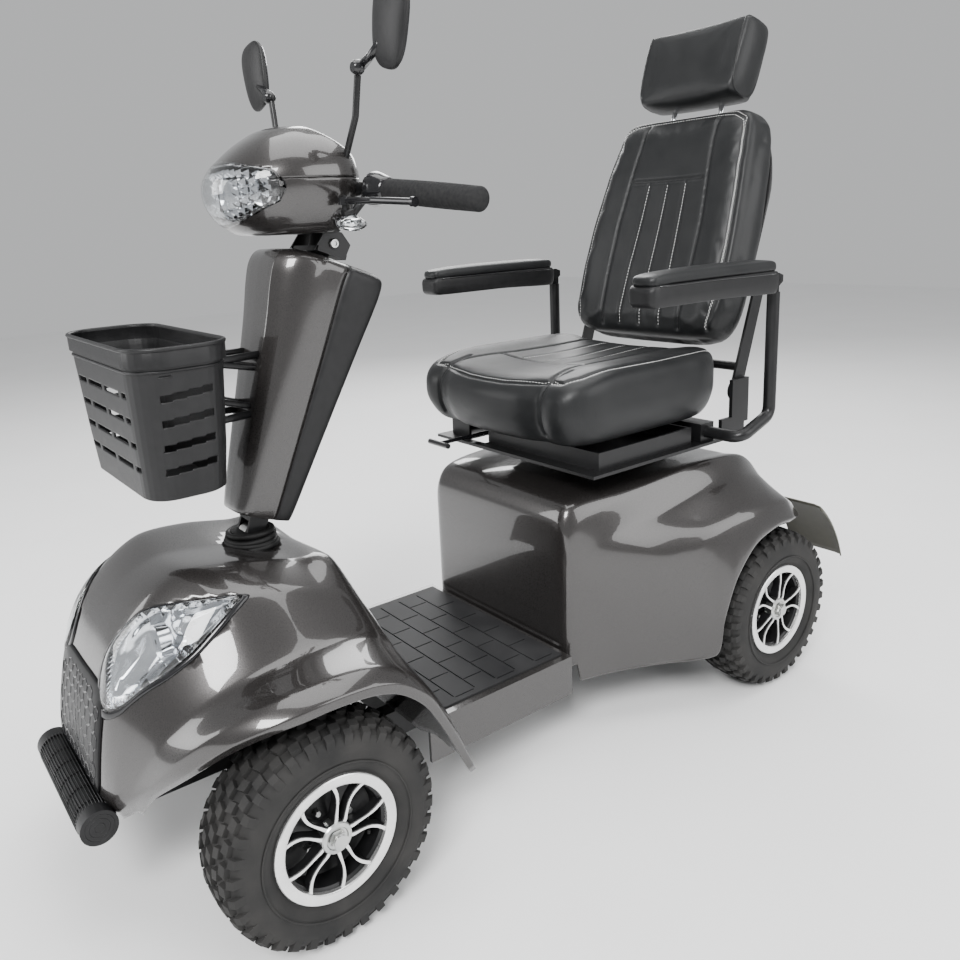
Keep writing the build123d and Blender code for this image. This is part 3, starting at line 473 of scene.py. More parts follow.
lens_parts, bowl_parts = [], []
for side, name in SIDES:
    outline = lamp_side(side)
    lens = NOSE.patch(f"lens_{name}", GLASS, outline, [(1.0, 1.6), (0.9, 4.0), (0.7, 5.5), (0.45, 6.2),
        (0.2, 6.4)], wall=1.5)
    lens_parts.append(lens)
    bezel = NOSE.patch(f"bezel_{name}", BLACK_GLOSS, outline, [(1.07, 0.4), (1.05, 1.8), (1.0, 2.2),
        (0.96, 0.4)], wall=1.0)
    place(bezel, "chassis")
    bowl = NOSE.patch(f"bowl_{name}", CHROME, outline, [(1.02, 0.5), (0.97, -8), (0.86, -9), (0.84, -15),
        (0.74, -17), (0.72, -21), (0.2, -28)], wall=1.0)
    bowl_parts.append(bowl)
    ridge = []
    edge = spline(np.array(outline, float), 10, closed=True)
    centre = edge.mean(axis=0)
    for k in range(0, len(edge), 2):
        u0, v0 = centre + 0.98 * (edge[k] - centre)
        u1, v1 = centre + 0.86 * (edge[k] - centre)
        a = NOSE.at(u0, v0) - 2 * NOSE.normal(u0, v0)
        b = NOSE.at(u1, v1) - 7 * NOSE.normal(u1, v1)
        ridge.append(tube(f"rib_{name}_{k}", [a, b], 1.2, CHROME, 6))
    p = NOSE.at(side * 1.55, 3.5)
    projector = lathe(f"projector_{name}", [(0, 24), (2, 24), (6, 20), (8, 12), (8, 4), (-14, 4),
        (-14, 24)], CHROME, (p[0] - side * 4, p[1] + 24, p[2] - 12), axis="y", turns=40)
    bowl_parts.append(join([projector] + ridge, f"ribs_{name}"))
lenses = join(lens_parts, "headlight_glass")
place(lenses, "chassis", ["headlight_lenses"])
bowls = join(bowl_parts, "headlight_bowls")
place(bowls, "chassis", ["headlight_reflectors"])

# ------------------------------------------------------------ rear cover
TAIL = Surface([[(0, 567, 150), (0, 567, 290), (0, 567, 375), (0, 571, 434), (0, 593, 466), (0, 650, 477),
    (0, 770, 480), (0, 870, 481), (0, 960, 480), (0, 1045, 468), (0, 1110, 430), (0, 1166, 350),
    (0, 1192, 240)], [(176, 567, 150), (176, 567, 290), (177, 567, 375), (178, 571, 432), (180, 593, 463),
    (184, 650, 474), (188, 770, 478), (191, 870, 482), (193, 960, 482), (192, 1045, 470), (188, 1110, 430),
    (184, 1164, 350), (180, 1188, 246)], [(197, 571, 150), (198, 572, 270), (199, 573, 350),
    (202, 577, 402), (206, 600, 434), (213, 655, 454), (222, 770, 468), (230, 870, 480), (236, 960, 484),
    (236, 1040, 474), (230, 1098, 436), (220, 1146, 372), (208, 1172, 300)],
    [(204, 578, 150), (206, 580, 240), (209, 584, 300), (214, 594, 345), (222, 624, 378), (232, 674, 398),
    (244, 760, 414), (256, 840, 428), (268, 915, 442), (276, 985, 448), (276, 1046, 436), (270, 1096, 404),
    (256, 1136, 362)], [(211, 586, 152), (218, 608, 190), (228, 636, 228), (242, 666, 262), (260, 706, 296),
    (281, 752, 328), (302, 802, 356), (318, 852, 378), (328, 905, 392), (333, 960, 399), (333, 1018, 400),
    (328, 1066, 393), (314, 1108, 374)], [(216, 590, 122), (226, 626, 124), (240, 666, 126),
    (260, 710, 128), (283, 755, 130), (310, 800, 132), (340, 838, 146), (347, 848, 212), (348, 882, 284),
    (348, 940, 338), (348, 1010, 357), (346, 1064, 356), (338, 1098, 352)],
    [(214, 592, 119), (224, 628, 120), (238, 668, 121), (258, 712, 122), (281, 757, 123), (308, 803, 124),
    (336, 842, 136), (340, 854, 208), (340, 890, 276), (340, 945, 328), (340, 1010, 348), (338, 1062, 347),
    (330, 1094, 346)],])


def tail_hole(u, v):
    p = TAIL.at(u, v)
    around_post = math.hypot(p[0], p[1] - 820) < 54 and p[2] > 430
    lever = math.hypot(p[0] - 100, p[1] - 967) < 9 and p[2] > 430
    return around_post or lever


WHEEL_WELL = [(880, 200), (1186, 200), (1186, 300), (1150, 356), (1080, 392), (960, 400), (880, 380)]
cover = TAIL.skin("rear_cover_skin", GRAPHITE, 4.0, tail_hole)
place(cover, "chassis", ["rear_cover"])
for side, name in SIDES:
    near, far = [[world((side * x, d, z)) for d, z in WHEEL_WELL] for x in (216, 219)]
    place(slab(f"wheel_well_{name}", near, far, BLACK_PLASTIC), "chassis")

guards = []
for side, name in SIDES:
    rows = []
    for k in range(15):
        a = math.radians(15 + 41 * k / 14)
        r = 231.5 - 3 * math.sin(math.pi * k / 14)
        rows.append([(side * x, WHEELBASE + (r - drop) * math.cos(a), WHEEL_Z + (r - drop) * math.sin(a))
            for x, drop in ((228, 6), (236, 1), (262, 0), (300, 0), (330, 0), (344, 2), (348, 8))])
    verts = [world(p) for row in rows for p in row]
    guard = mesh_object(f"guard_{name}", verts, grid_faces(15, 7), OLIVE)
    thicken(guard, 0.003, -side * 1.0)
    guards.append(guard)
guards = join(guards, "mudguards")
place(guards, "chassis", ["rear_mudguards"])

# ------------------------------------------------------------ wheels
SPOKES = 10
KNOBS = 34   # tread blocks in one row around a tyre


def turned(side, profile):
    """A lathe profile with its first measure pointing to one side."""
    return [(side * u, r) for u, r in profile]


def tyre_mesh(name, centre):
    half = [(0, 158), (20, 157.5), (36, 155.5), (48, 151), (54, 143), (56.5, 132), (57, 120), (54, 108),
        (48, 99), (45.5, 95.5), (44.5, 90), (44, 86.5), (37, 86.5), (42, 104), (46, 122), (42, 142),
        (0, 150)]
    profile = half + [(-u, r) for u, r in reversed(half) if u]
    body = lathe(name, profile, TYRE, centre, turns=128, crease=60)
    verts, faces = [], []
    c = world(centre)

    def knob(angle, u, width, length, low, high, skew=0.0, tilt=0.0):
        base = len(verts)
        for level, shrink in ((low, 1.0), (high, 0.84)):
            for a, b in ((-1, -1), (1, -1), (1, 1), (-1, 1)):
                du = u + a * width / 2 * shrink
                dr = level + tilt * a * width / 2 / 10 * (1 if u > 0 else -1)
                da = angle + (b * length / 2 * shrink + skew * a) / 160
                verts.append((c.x + du / 1000, c.y + dr / 1000 * math.cos(da),
                    c.z + dr / 1000 * math.sin(da)))
        for f in ((0, 1, 2, 3), (7, 6, 5, 4), (0, 4, 5, 1), (1, 5, 6, 2), (2, 6, 7, 3), (3, 7, 4, 0)):
            faces.append(tuple(base + i for i in f))

    for k in range(KNOBS):
        a = 2 * math.pi * k / KNOBS
        between = a + math.pi / KNOBS
        knob(a, 0, 17, 17, 154, 165, 2)
        for s in (1, -1):
            knob(between, s * 19.5, 16, 17, 153, 164.2, -s * 2, -0.6)
            knob(a, s * 37, 13.5, 18, 150, 162, s, -2.4)
            knob(between, s * 50.5, 9, 15, 141, 156.5, 0, -6.5)
    blocks = mesh_object(f"{name}_tread", verts, faces, TYRE, smooth=False)
    fix_normals(blocks)
    bead = [(57.2, 113), (58.2, 114.5), (57.5, 116), (56, 114.5)]
    rings = [lathe(f"{name}_ring{s}", turned(s, bead), TYRE, centre, turns=96) for s in (1, -1)]
    return join([body, blocks] + rings, name)


def rim_mesh(name, centre, side):
    s = side
    dish = [(46, 86), (38, 79), (10, 76), (-30, 76), (-44, 85), (-44.5, 93), (-49.5, 93.6), (-49.8, 86),
        (-34, 72), (4, 72), (8, 60), (12, 30), (16, 21), (0, 21), (0, 11), (42, 11), (42, 21), (22, 24),
        (17, 34), (13, 66), (15, 71), (40, 74.5), (44, 80)]
    pan = lathe(f"{name}_pan", turned(s, dish), FRAME_BLACK, centre, turns=96)
    face = [(45, 94.2), (50, 94.2), (51, 93), (50.8, 82), (49, 79), (44, 78), (44, 86)]
    ring = lathe(f"{name}_ring", turned(s, face), ALLOY, centre, turns=128)
    c = world(centre)
    verts, faces, dark_verts, dark_faces = [], [], [], []
    steps = 9
    for k in range(SPOKES):
        base_angle = 2 * math.pi * (k + 0.5) / SPOKES
        rows, rows_dark = [], []
        for i in range(steps):
            t = i / (steps - 1)
            r = 20 + (80.5 - 20) * t
            a = base_angle + 0.13 * math.sin(math.pi * t) * (1 if k % 2 else -1)
            half = 1.5 + 1.3 * abs(t - 0.45) * 2
            height = 47.8 - 3.0 * math.sin(math.pi * t) if t else 45.5
            rows.append([(height - 2.2, a, r, -half), (height, a, r, -half), (height, a, r, half),
                (height - 2.2, a, r, half)])
            rows_dark.append([(26 + 6 * t, a, r, -half * 1.35), (height - 2.3, a, r, -half * 1.2),
                (height - 2.3, a, r, half * 1.2), (26 + 6 * t, a, r, half * 1.35)])
        for source, out_v, out_f in ((rows, verts, faces), (rows_dark, dark_verts, dark_faces)):
            base = len(out_v)
            for row in source:
                for u, a, r, w in row:
                    y = r * math.cos(a) - w * math.sin(a)
                    z = r * math.sin(a) + w * math.cos(a)
                    out_v.append((c.x + s * u / 1000, c.y + y / 1000, c.z + z / 1000))
            out_f += [tuple(base + i for i in f) for f in grid_faces(steps, 4, wrap=True)]
            last = base + (steps - 1) * 4
            out_f += [(base, base + 1, base + 2, base + 3), (last + 3, last + 2, last + 1, last)]
    spokes = fix_normals(mesh_object(f"{name}_faces", verts, faces, ALLOY, True, 40))
    webs = fix_normals(mesh_object(f"{name}_webs", dark_verts, dark_faces, FRAME_BLACK, True, 40))
    cap = [(30, 24), (46, 23.5), (48, 22), (48.5, 17), (46.5, 15.5), (46, 10.3), (30, 10.3)]
    hub = lathe(f"{name}_hub", turned(s, cap), ZINC, centre, turns=48)
    bolt = turned(s, [(14, 0.1), (14, 5), (26, 5), (27, 4), (27, 0.1)])
    bolts = []
    for k in range(4):
        a = math.radians(25 + 90 * k)
        at = (centre[0], centre[1] + 36 * math.cos(a), centre[2] + 36 * math.sin(a))
        bolts.append(lathe(f"{name}_bolt{k}", bolt, ZINC, at, turns=6, closed=False, crease=20))
    valve = tube(f"{name}_valve", [(centre[0] + s * 20, centre[1] + 62, centre[2] - 30),
        (centre[0] + s * 36, centre[1] + 54, centre[2] - 26)], [3.5, 2.8], RUBBER, 10)
    return join([pan, ring, spokes, webs, hub, valve] + bolts, name)


for end, distance in (("front", 0.0), ("rear", WHEELBASE)):
    for side, name in SIDES:
        centre = (side * WHEEL_X, distance, WHEEL_Z)
        place(tyre_mesh(f"tread_{end}_{name}", centre), f"wheel_{end}_{name}", [f"tyre_{end}_{name}"])
        place(rim_mesh(f"wheel_disc_{end}_{name}", centre, side), f"wheel_{end}_{name}",
            [f"rim_{end}_{name}"])

# ------------------------------------------------------------ tiller cover, on its leaning plane
LEAN = math.radians(21)


def on_tiller(x, y, s):
    """Point on the leaning column: y rearward of its axis, s up along it."""
    return (x, TILT_D + y * math.cos(LEAN) + s * math.sin(LEAN),
        TILT_Z - y * math.sin(LEAN) + s * math.cos(LEAN))


def cover_ring(s, wide, front, rear, facet):
    """Half outline from the front centre to the rear centre, x positive."""
    return [(0, -front, s), (wide * 0.5, -front + 1, s), (wide - facet, -front + 4, s),
        (wide - facet * 0.35, -front + facet * 0.8, s), (wide, -front + facet * 1.9, s),
        (wide, (rear - front) / 2 + 14, s), (wide - 3, rear - 16, s), (wide * 0.72, rear - 3, s),
        (0, rear, s)]


STATIONS = [cover_ring(34, 40, 42, 46, 12), cover_ring(42, 46, 47, 51, 14), cover_ring(120, 54, 56, 60, 17),
    cover_ring(230, 64, 68, 72, 21), cover_ring(330, 73, 80, 83, 26), cover_ring(392, 79, 90, 90, 30),
    cover_ring(424, 81, 92, 93, 31), cover_ring(444, 80, 84, 92, 30), cover_ring(453, 70, 66, 84, 26)]
SPLIT = 5   # the point of each ring where the front shell meets the rear shell
rings = np.array([[on_tiller(*p) for p in ring] for ring in STATIONS])
smooth_rings = spline(rings, 8)


def half_cover(name, first, last, mat):
    left = smooth_rings[:, first:last + 1]
    fine = np.array([spline(row, 5) for row in left])
    if first == 0:
        full = np.concatenate([fine[:, :0:-1] * np.array([-1, 1, 1]), fine], axis=1)
    else:
        full = np.concatenate([fine, fine[:, -2::-1] * np.array([-1, 1, 1])], axis=1)
    verts = [world(p) for p in full.reshape(-1, 3)]
    cols = full.shape[1]
    obj = mesh_object(name, verts, grid_faces(full.shape[0], cols), mat)
    top = [(full.shape[0] - 1) * cols + k for k in range(cols)]
    obj.data.set_sharp_from_angle(angle=math.radians(32))
    clean(obj, cap=top)
    thicken(obj, 0.0035)
    return obj


place(half_cover("tiller_front_shell", 0, SPLIT, GRAPHITE), "tiller", ["tiller_cover_front"])
place(half_cover("tiller_rear_shell", SPLIT, 8, BLACK_PLASTIC), "tiller", ["tiller_cover_rear"])

# bracket and bolts between the cover and the head
EAR = [(-30, 462), (26, 462), (30, 488), (10, 502), (-18, 500)]
bracket = []
for side, name in SIDES:
    near, far = [[world(on_tiller(side * x, y, s)) for y, s in EAR] for x in (40, 44)]
    bracket.append(slab(f"ear_{name}", near, far, FRAME_BLACK))
    c = on_tiller(side * 44, 0, 481)
    bolt = turned(side, [(0, 0.1), (0, 8), (3, 8), (5, 6.5), (5, 4), (3, 3.6), (3, 0.1)])
    bracket.append(lathe(f"ear_bolt_{name}", bolt, ZINC, c, turns=24, closed=False))
place(join(bracket, "head_bracket"), "tiller")

# ------------------------------------------------------------ head
HEAD_RINGS = [(968, 196, 40, 48, 38, 0), (966, 194, 62, 74, 58, 0), (972, 191, 78, 92, 74, 4),
    (992, 189, 96, 106, 88, 10), (1018, 188, 108, 112, 98, 16), (1045, 188, 113, 110, 100, 18),
    (1068, 190, 108, 102, 94, 14), (1090, 194, 95, 88, 82, 8), (1108, 197, 76, 70, 64, 2),
    (1121, 199, 50, 46, 42, 0), (1127, 200, 0.6, 0.6, 0.6, 0)]


def head_ring(z, d, wide, front, rear, beak):
    pts = []
    for k in range(48):
        a = 2 * math.pi * k / 48
        x = math.copysign(abs(math.sin(a)) ** 0.9, math.sin(a)) * wide
        c = math.cos(a)
        y = -abs(c) ** 0.86 * front if c > 0 else abs(c) ** 0.8 * rear
        x *= 1 + 0.06 * max(0, -c)
        pts.append((x, d + y - beak * max(0, c) ** 3, z))
    return pts


head_rows = spline(np.array([head_ring(*r) for r in HEAD_RINGS]), 8)
SEAM_ROW = 5 * 8   # where the lower head skin meets the upper one
LAMP_HALF = 98     # half width of the lamp window
DASH_AT = (0, 232, 1096)
DASH_NORMAL = Vector((0, 0.5708, 0.8211))


def lamp_edges(x):
    """Lower and upper edge of the lamp window at x."""
    return 984 + 0.0035 * x * x, 1072 - 0.0018 * x * x


def lamp_window(row, k, grow):
    """Says whether a point of the head lies in the lamp window, on the front half."""
    x, d, z = head_rows[row, k]
    if d > 150:
        return False
    low, high = lamp_edges(x)
    return abs(x) < LAMP_HALF * grow and abs(z - (low + high) / 2) < (high - low) / 2 * grow


def head_piece(name, first, last, mat):
    rows = head_rows[first:last + 1]
    fine = np.array([spline(r, 4, closed=True) for r in rows])
    n = fine.shape[1]
    above = np.maximum(0, (fine - np.array(DASH_AT)) @ np.array(DASH_NORMAL))   # cut flat at the dash
    fine -= above[..., None] * np.array(DASH_NORMAL)

    def keep(i, j):
        return not lamp_window(first + i, (j // 4) % 48, 0.9)
    obj = mesh_object(name, [world(p) for p in fine.reshape(-1, 3)],
        grid_faces(fine.shape[0], n, keep, wrap=True), mat)
    clean(obj)
    thicken(obj, 0.003)
    return obj


lower = head_piece("head_lower_skin", 2, SEAM_ROW, GRAPHITE)
upper = head_piece("head_upper_skin", SEAM_ROW, len(head_rows) - 1, GRAPHITE)
base = lathe("head_base", [(0, 0.1), (0, 76), (3, 78), (3, 0.1)], BLACK_PLASTIC, (0, 191, 970), axis="z",
    turns=64, closed=False)
upper.scale = (1.004, 1.004, 1.0)
upper.location = (0, -0.004 * (188 + AXLE_Y) / 1000, 0.0008)
place(join([lower, base], "head_lower_skin"), "tiller", ["head_shell_lower"])
for o in bpy.context.view_layer.objects:
    o.select_set(False)
upper.select_set(True)
bpy.context.view_layer.objects.active = upper
bpy.ops.object.transform_apply(location=True, rotation=True, scale=True)
place(upper, "tiller", ["head_shell_upper"])


def window_panel(name, mat, lift, shrink, rows=18, cols=32, wall=1.2, bulge=0.0):
    """A panel over the lamp window, lift mm out of the head's face."""
    verts = []
    for i in range(rows + 1):
        for j in range(cols + 1):
            a, b = -1 + 2 * j / cols, -1 + 2 * i / rows
            x = a * LAMP_HALF * shrink * math.sqrt(1 - 0.16 * b * b)
            low, high = lamp_edges(x)
            z = (low + high) / 2 + b * (high - low) / 2 * shrink
            level = np.interp(z, [r[0] for r in HEAD_RINGS[1:]], range(1, len(HEAD_RINGS))) * 8
            r0 = int(min(level, len(head_rows) - 2))
            row = head_rows[r0] + (level - r0) * (head_rows[r0 + 1] - head_rows[r0])
            half = np.concatenate([row[36:], row[:13]])
            order = np.argsort(half[:, 0])
            y = np.interp(x, half[order, 0], half[order, 1])
            n = Vector((x / LAMP_HALF * 1.1, -1, (z - 1030) / 90)).normalized()
            extra = lift + bulge * (1 - a * a) * (1 - b * b)
            verts.append(world((x, y, z)) + n * extra / 1000)
    obj = mesh_object(name, verts, grid_faces(rows + 1, cols + 1), mat)
    fix_normals(obj)
    thicken(obj, wall / 1000, 0.0)
    return obj


lamp_glass = window_panel("head_lamp_glass", GLASS, 1.6, 1.05, bulge=2.5)
place(lamp_glass, "tiller", ["headlamp_lens"])
lamp_back = window_panel("head_lamp_bowl", CHROME, -16, 0.96, bulge=-14)
facets = []
for k in range(60):
    a, b = (k % 12) / 11 * 2 - 1, (k // 12) / 4 * 2 - 1
    if abs(a) < 0.42 and abs(b) < 0.7:
        continue
    x = a * 86 * math.sqrt(1 - 0.25 * b * b)
    z = 1028 + 0.0009 * x * x + b * 30 * (1 - 0.35 * a * a)
    y = 186 - 120 * (1 - (abs(x) / 114) ** 2.2) ** 0.43
    c = world((x, y + 12, z))
    s = 0.0055
    facets.append(mesh_object(f"facet{k}", [c + Vector(v) * s for v in ((-1.3, 0.4, -1), (1.3, 0.4, -1),
        (1.3, 0.4, 1), (-1.3, 0.4, 1), (0.2, -1.3, 0.2))], [(0, 1, 4), (1, 2, 4), (2, 3, 4), (3, 0, 4),
        (3, 2, 1, 0)], CHROME, smooth=False))
reflector = lathe("main_reflector", [(-12, 34), (0, 26), (8, 16), (12, 7), (-8, 5), (-9, 0.2), (13, 0.2),
    (14, 8), (9, 18), (1, 28), (-11, 36)], CHROME, (0, 100, 1030), axis="y", turns=48)
place(join([lamp_back, reflector] + facets, "head_lamp_inside"), "tiller")

# indicators on the head's lower corners
blinkers = []
for side, name in SIDES:
    rows = []
    for i in range(9):
        t = i / 8
        wide = 15 * math.sin(math.pi * (0.12 + 0.8 * t)) + 1
        rows.append([(side * (94 + 10 * math.sin(math.pi * t * 0.7) + 0.62 * wide * math.cos(a)),
            214 + 48 * t, 980 - 4 * t + 0.75 * wide * math.sin(a)) for a in [2 * math.pi * k / 16
            for k in range(16)]])
    verts = [world(p) for row in rows for p in row]
    faces = grid_faces(9, 16, wrap=True) + [tuple(range(16)), tuple(8 * 16 + k for k in range(16))]
    blinkers.append(fix_normals(mesh_object(f"blinker_{name}", verts, faces, GLASS)))
    core = tube(f"blinker_core_{name}", [(side * 98, 222, 979), (side * 101, 250, 977)], 5, CHROME, 8)
    place(core, "tiller")
place(join(blinkers, "blinker_lenses"), "tiller", ["indicators"])

# dash panel with a raised edge and a row of battery bars
dash_x, dash_y = Vector((1, 0, 0)), Vector((0, DASH_NORMAL.z, -DASH_NORMAL.y))


def dash_at(x, y, lift):
    return (world(DASH_AT) + dash_x * x / 1000 + dash_y * y / 1000 + DASH_NORMAL * lift / 1000)


panel_edge = []
for (cx, cy), start in zip(((40, 23), (-40, 23), (-40, -23), (40, -23)), (0, 90, 180, 270)):
    panel_edge += [(cx + 7 * math.cos(math.radians(start + 15 * k)),
        cy + 7 * math.sin(math.radians(start + 15 * k))) for k in range(7)]
verts, n = [], len(panel_edge)
for scale, lift in ((1.0, -4), (1.0, 2.4), (0.96, 3.4), (0.93, 2.8), (0.0, 2.8)):
    verts += [dash_at(x * scale, y * scale, lift) for x, y in panel_edge]
plate = mesh_object("dash_plate", verts, grid_faces(5, n, wrap=True), BLACK_GLOSS, True, 30)
dash = [fix_normals(plate)]
for k in range(5):
    x = -24 + 12 * k
    corners = [(x - 4, 14), (x + 4, 14), (x + 4, 19), (x - 4, 19)]
    vs = [dash_at(a, b, h) for h in (2.6, 3.6) for a, b in corners]
    dash.append(mesh_object(f"bar{k}", vs, [(4, 5, 6, 7), (0, 1, 5, 4), (1, 2, 6, 5), (2, 3, 7, 6),
        (3, 0, 4, 7)], OLIVE, smooth=False))
place(join(dash, "dash_face"), "tiller", ["dash_panel"])

# ------------------------------------------------------------ basket
BASKET = [(625, 138, 54, -67, 36), (628, 144, 58, -67, 40), (690, 155, 62, -67, 43),
    (760, 165, 65, -67.5, 46), (812, 173, 67, -68, 48), (812.2, 178, 70, -68, 49),
    (833, 179, 70.5, -68, 50), (836, 177.5, 69, -68, 49)]


def basket_ring(wide, deep, corner, n=28):
    """Rounded rectangle about the origin, with points at most about 9 mm apart."""
    pts = []
    for cx, cy, start in ((1, 1, 0), (-1, 1, 90), (-1, -1, 180), (1, -1, 270)):
        for k in range(n // 4 + 1):
            a = math.radians(start + 90 * k / (n // 4))
            pts.append((cx * (wide - corner) + corner * math.cos(a),
                cy * (deep - corner) + corner * math.sin(a)))
    out = []
    for (x1, y1), (x2, y2) in zip(pts, pts[1:] + pts[:1]):
        steps = max(1, int(round(math.hypot(x2 - x1, y2 - y1) / 9)))
        out += [(x1 + (x2 - x1) * k / steps, y1 + (y2 - y1) * k / steps) for k in range(steps)]
    return out


def basket_outline(z, samples):
    """The basket's outline at height z, as evenly spaced points."""
    row = [np.interp(z, [b[0] for b in BASKET], [b[k] for b in BASKET]) for k in range(1, 5)]
    pts = np.array(basket_ring(row[0], row[1], row[3]))
    loop = np.concatenate([pts, pts[:1]])
    length = np.concatenate([[0], np.cumsum(np.linalg.norm(np.diff(loop, axis=0), axis=1))])
    at = np.linspace(0, length[-1], samples, endpoint=False)
    return [(np.interp(a, length, loop[:, 0]), row[2] + np.interp(a, length, loop[:, 1]), z) for a in at]


SAMPLES = 480
levels = [625, 628] + list(np.linspace(634, 806, 87)) + [812, 812.2, 833, 836]
loops = [basket_outline(z, SAMPLES) for z in levels]


def slot_here(i, j):
    """Says whether a cell of the basket's wall is cut out as a slot."""
    z = (levels[i] + levels[i + 1]) / 2
    x, d, _ = loops[i][j]
    if not 655 < z < 800:
        return False
    if abs(d + 68) < 36 and abs(x) > 100:
        row = (z - 655 - (d + 68) * 0.1) % 34
        return 10 < row < 20
    if abs(x) < 118 and d < -90:
        row = (z - 655) % 34
        gap = abs((x + 236) % 82 - 41)
        return 10 < row < 20 and gap < 35
    return False


verts = [world(p) for loop in loops for p in loop]
shell = grid_faces(len(levels), SAMPLES, lambda i, j: not slot_here(i, j), wrap=True)
basket = mesh_object("basket_shell", verts, shell, BLACK_PLASTIC, True, 40)
clean(basket, cap=range(SAMPLES))
thicken(basket, 0.0032)
rim_bead = tube("basket_bead", basket_outline(835.0, 120), 3.0, BLACK_PLASTIC, 8, closed=True)
step_bead = tube("basket_step", basket_outline(806, 120), 2.2, BLACK_PLASTIC, 8, closed=True)
hooks = []
for side in (1, -1):
    for z, s in ((790, 300), (700, 205)):
        end = on_tiller(side * 26, -60, s)
        hooks.append(tube(f"hook{side}{z}", [(side * 40, -4, z), (side * 38, 14, z), (end[0], end[1], z)],
            6, FRAME_BLACK, 10))
place(join([basket, rim_bead, step_bead] + hooks, "basket_shell"), "tiller", ["basket"])

# ------------------------------------------------------------ cushions
def rounded_block(name, half, power, shape, mat, cuts=26, smooth=False):
    """A block with softened edges about the origin, in mm, then bent by shape(x, y, z)."""
    bm = bmesh.new()
    bmesh.ops.create_cube(bm, size=2.0)
    bmesh.ops.subdivide_edges(bm, edges=bm.edges, cuts=cuts, use_grid_fill=True)
    for v in bm.verts:
        norm = sum(abs(c) ** p for c, p in zip(v.co, power)) ** (1 / max(power))
        q = v.co / max(norm, 1e-6)
        v.co = world(shape(q.x * half[0], q.y * half[1], q.z * half[2]))
    data = bpy.data.meshes.new(name)
    bm.to_mesh(data)
    bm.free()
    data.materials.append(mat)
    for p in data.polygons:
        p.use_smooth = smooth
    obj = bpy.data.objects.new(name, data)
    bpy.context.collection.objects.link(obj)
    return obj


def remesh(obj, voxel):
    mod = obj.modifiers.new("even", "REMESH")
    mod.mode = "VOXEL"
    mod.voxel_size = voxel / 1000
    mod.use_smooth_shade = True
    mat = obj.data.materials[0]
    apply_modifiers(obj)
    obj.data.materials.clear()
    obj.data.materials.append(mat)


def inflate(obj, voxel, pinned, cap, pressure=4.0):
    """Fills a cushion by cloth pressure, held along its seams and where it rests."""
    remesh(obj, voxel)
    count = len(obj.data.vertices)
    rest = np.empty(count * 3)
    obj.data.vertices.foreach_get("co", rest)
    rest = rest.reshape(-1, 3)
    group = obj.vertex_groups.new(name="held")
    weight = np.clip([pinned(*(p * 1000 - np.array([0, AXLE_Y, 0]))) for p in rest], 0, 1)
    for level in (0.25, 0.5, 0.75, 1.0):
        chosen = [int(i) for i in np.nonzero((weight > level - 0.25) & (weight <= level))[0]]
        if chosen:
            group.add(chosen, level, "REPLACE")
    cloth = obj.modifiers.new("cloth", "CLOTH")
    cloth.settings.quality = 4
    cloth.settings.use_pressure = True
    cloth.settings.uniform_pressure_force = pressure
    cloth.settings.vertex_group_mass = "held"
    cloth.settings.effector_weights.gravity = 0
    cloth.settings.bending_stiffness = 2.0
    for step in range(1, 21):
        bpy.context.scene.frame_set(step)
    apply_modifiers(obj)
    bpy.context.scene.frame_set(1)
    moved = np.empty(count * 3)
    obj.data.vertices.foreach_get("co", moved)
    moved = moved.reshape(-1, 3)
    shift = moved - rest
    reach = np.linalg.norm(shift, axis=1)[:, None]
    moved = rest + shift * np.minimum(1, cap / 1000 / np.maximum(reach, 1e-9))
    obj.data.vertices.foreach_set("co", moved.ravel())
    soft = obj.modifiers.new("smooth", "SMOOTH")
    soft.factor = 0.5
    soft.iterations = 3
    fine = obj.modifiers.new("fine", "SUBSURF")
    fine.levels = fine.render_levels = 1
    apply_modifiers(obj)
    for p in obj.data.polygons:
        p.use_smooth = True


def bell(value, width):
    return math.exp(-(value / width) ** 2)


def ease(value, low, high):
    t = min(1, max(0, (value - low) / (high - low)))
    return t * t * (3 - 2 * t)


def groove(obj, lines, depth, width):
    """Presses sewn channels into a finished cushion: lines are polylines in mm."""
    pts = []
    for line in lines:
        for a, b in zip(line, line[1:]):
            steps = max(1, int((Vector(b) - Vector(a)).length / 3))
            pts += [world(Vector(a).lerp(Vector(b), k / steps)) for k in range(steps)]
    tree = KDTree(len(pts))
    for i, p in enumerate(pts):
        tree.insert(p, i)
    tree.balance()
    normals = [v.normal.copy() for v in obj.data.vertices]
    for v, n in zip(obj.data.vertices, normals):
        dist = tree.find(v.co)[2] * 1000
        if dist < width * 2.5:
            v.co -= n * depth / 1000 * bell(dist, width)


def land(obj, points, direction):
    """Drops points (mm) onto the cushion along a direction; returns (place, normal) pairs."""
    tree = BVHTree.FromObject(obj, bpy.context.evaluated_depsgraph_get())
    out = []
    for p in points:
        start = world(p) - Vector(direction) * 0.25
        hit, normal, _, _ = tree.ray_cast(start, Vector(direction), 0.6)
        out.append((hit, normal) if hit is not None else None)
    return out


def dense(line, gap):
    pts = [Vector(p) for p in line]
    out, carry = [], 0.0
    for a, b in zip(pts, pts[1:]):
        length = (b - a).length
        at = carry
        while at < length:
            out.append(a.lerp(b, at / length))
            at += gap
        carry = at - length
    return out


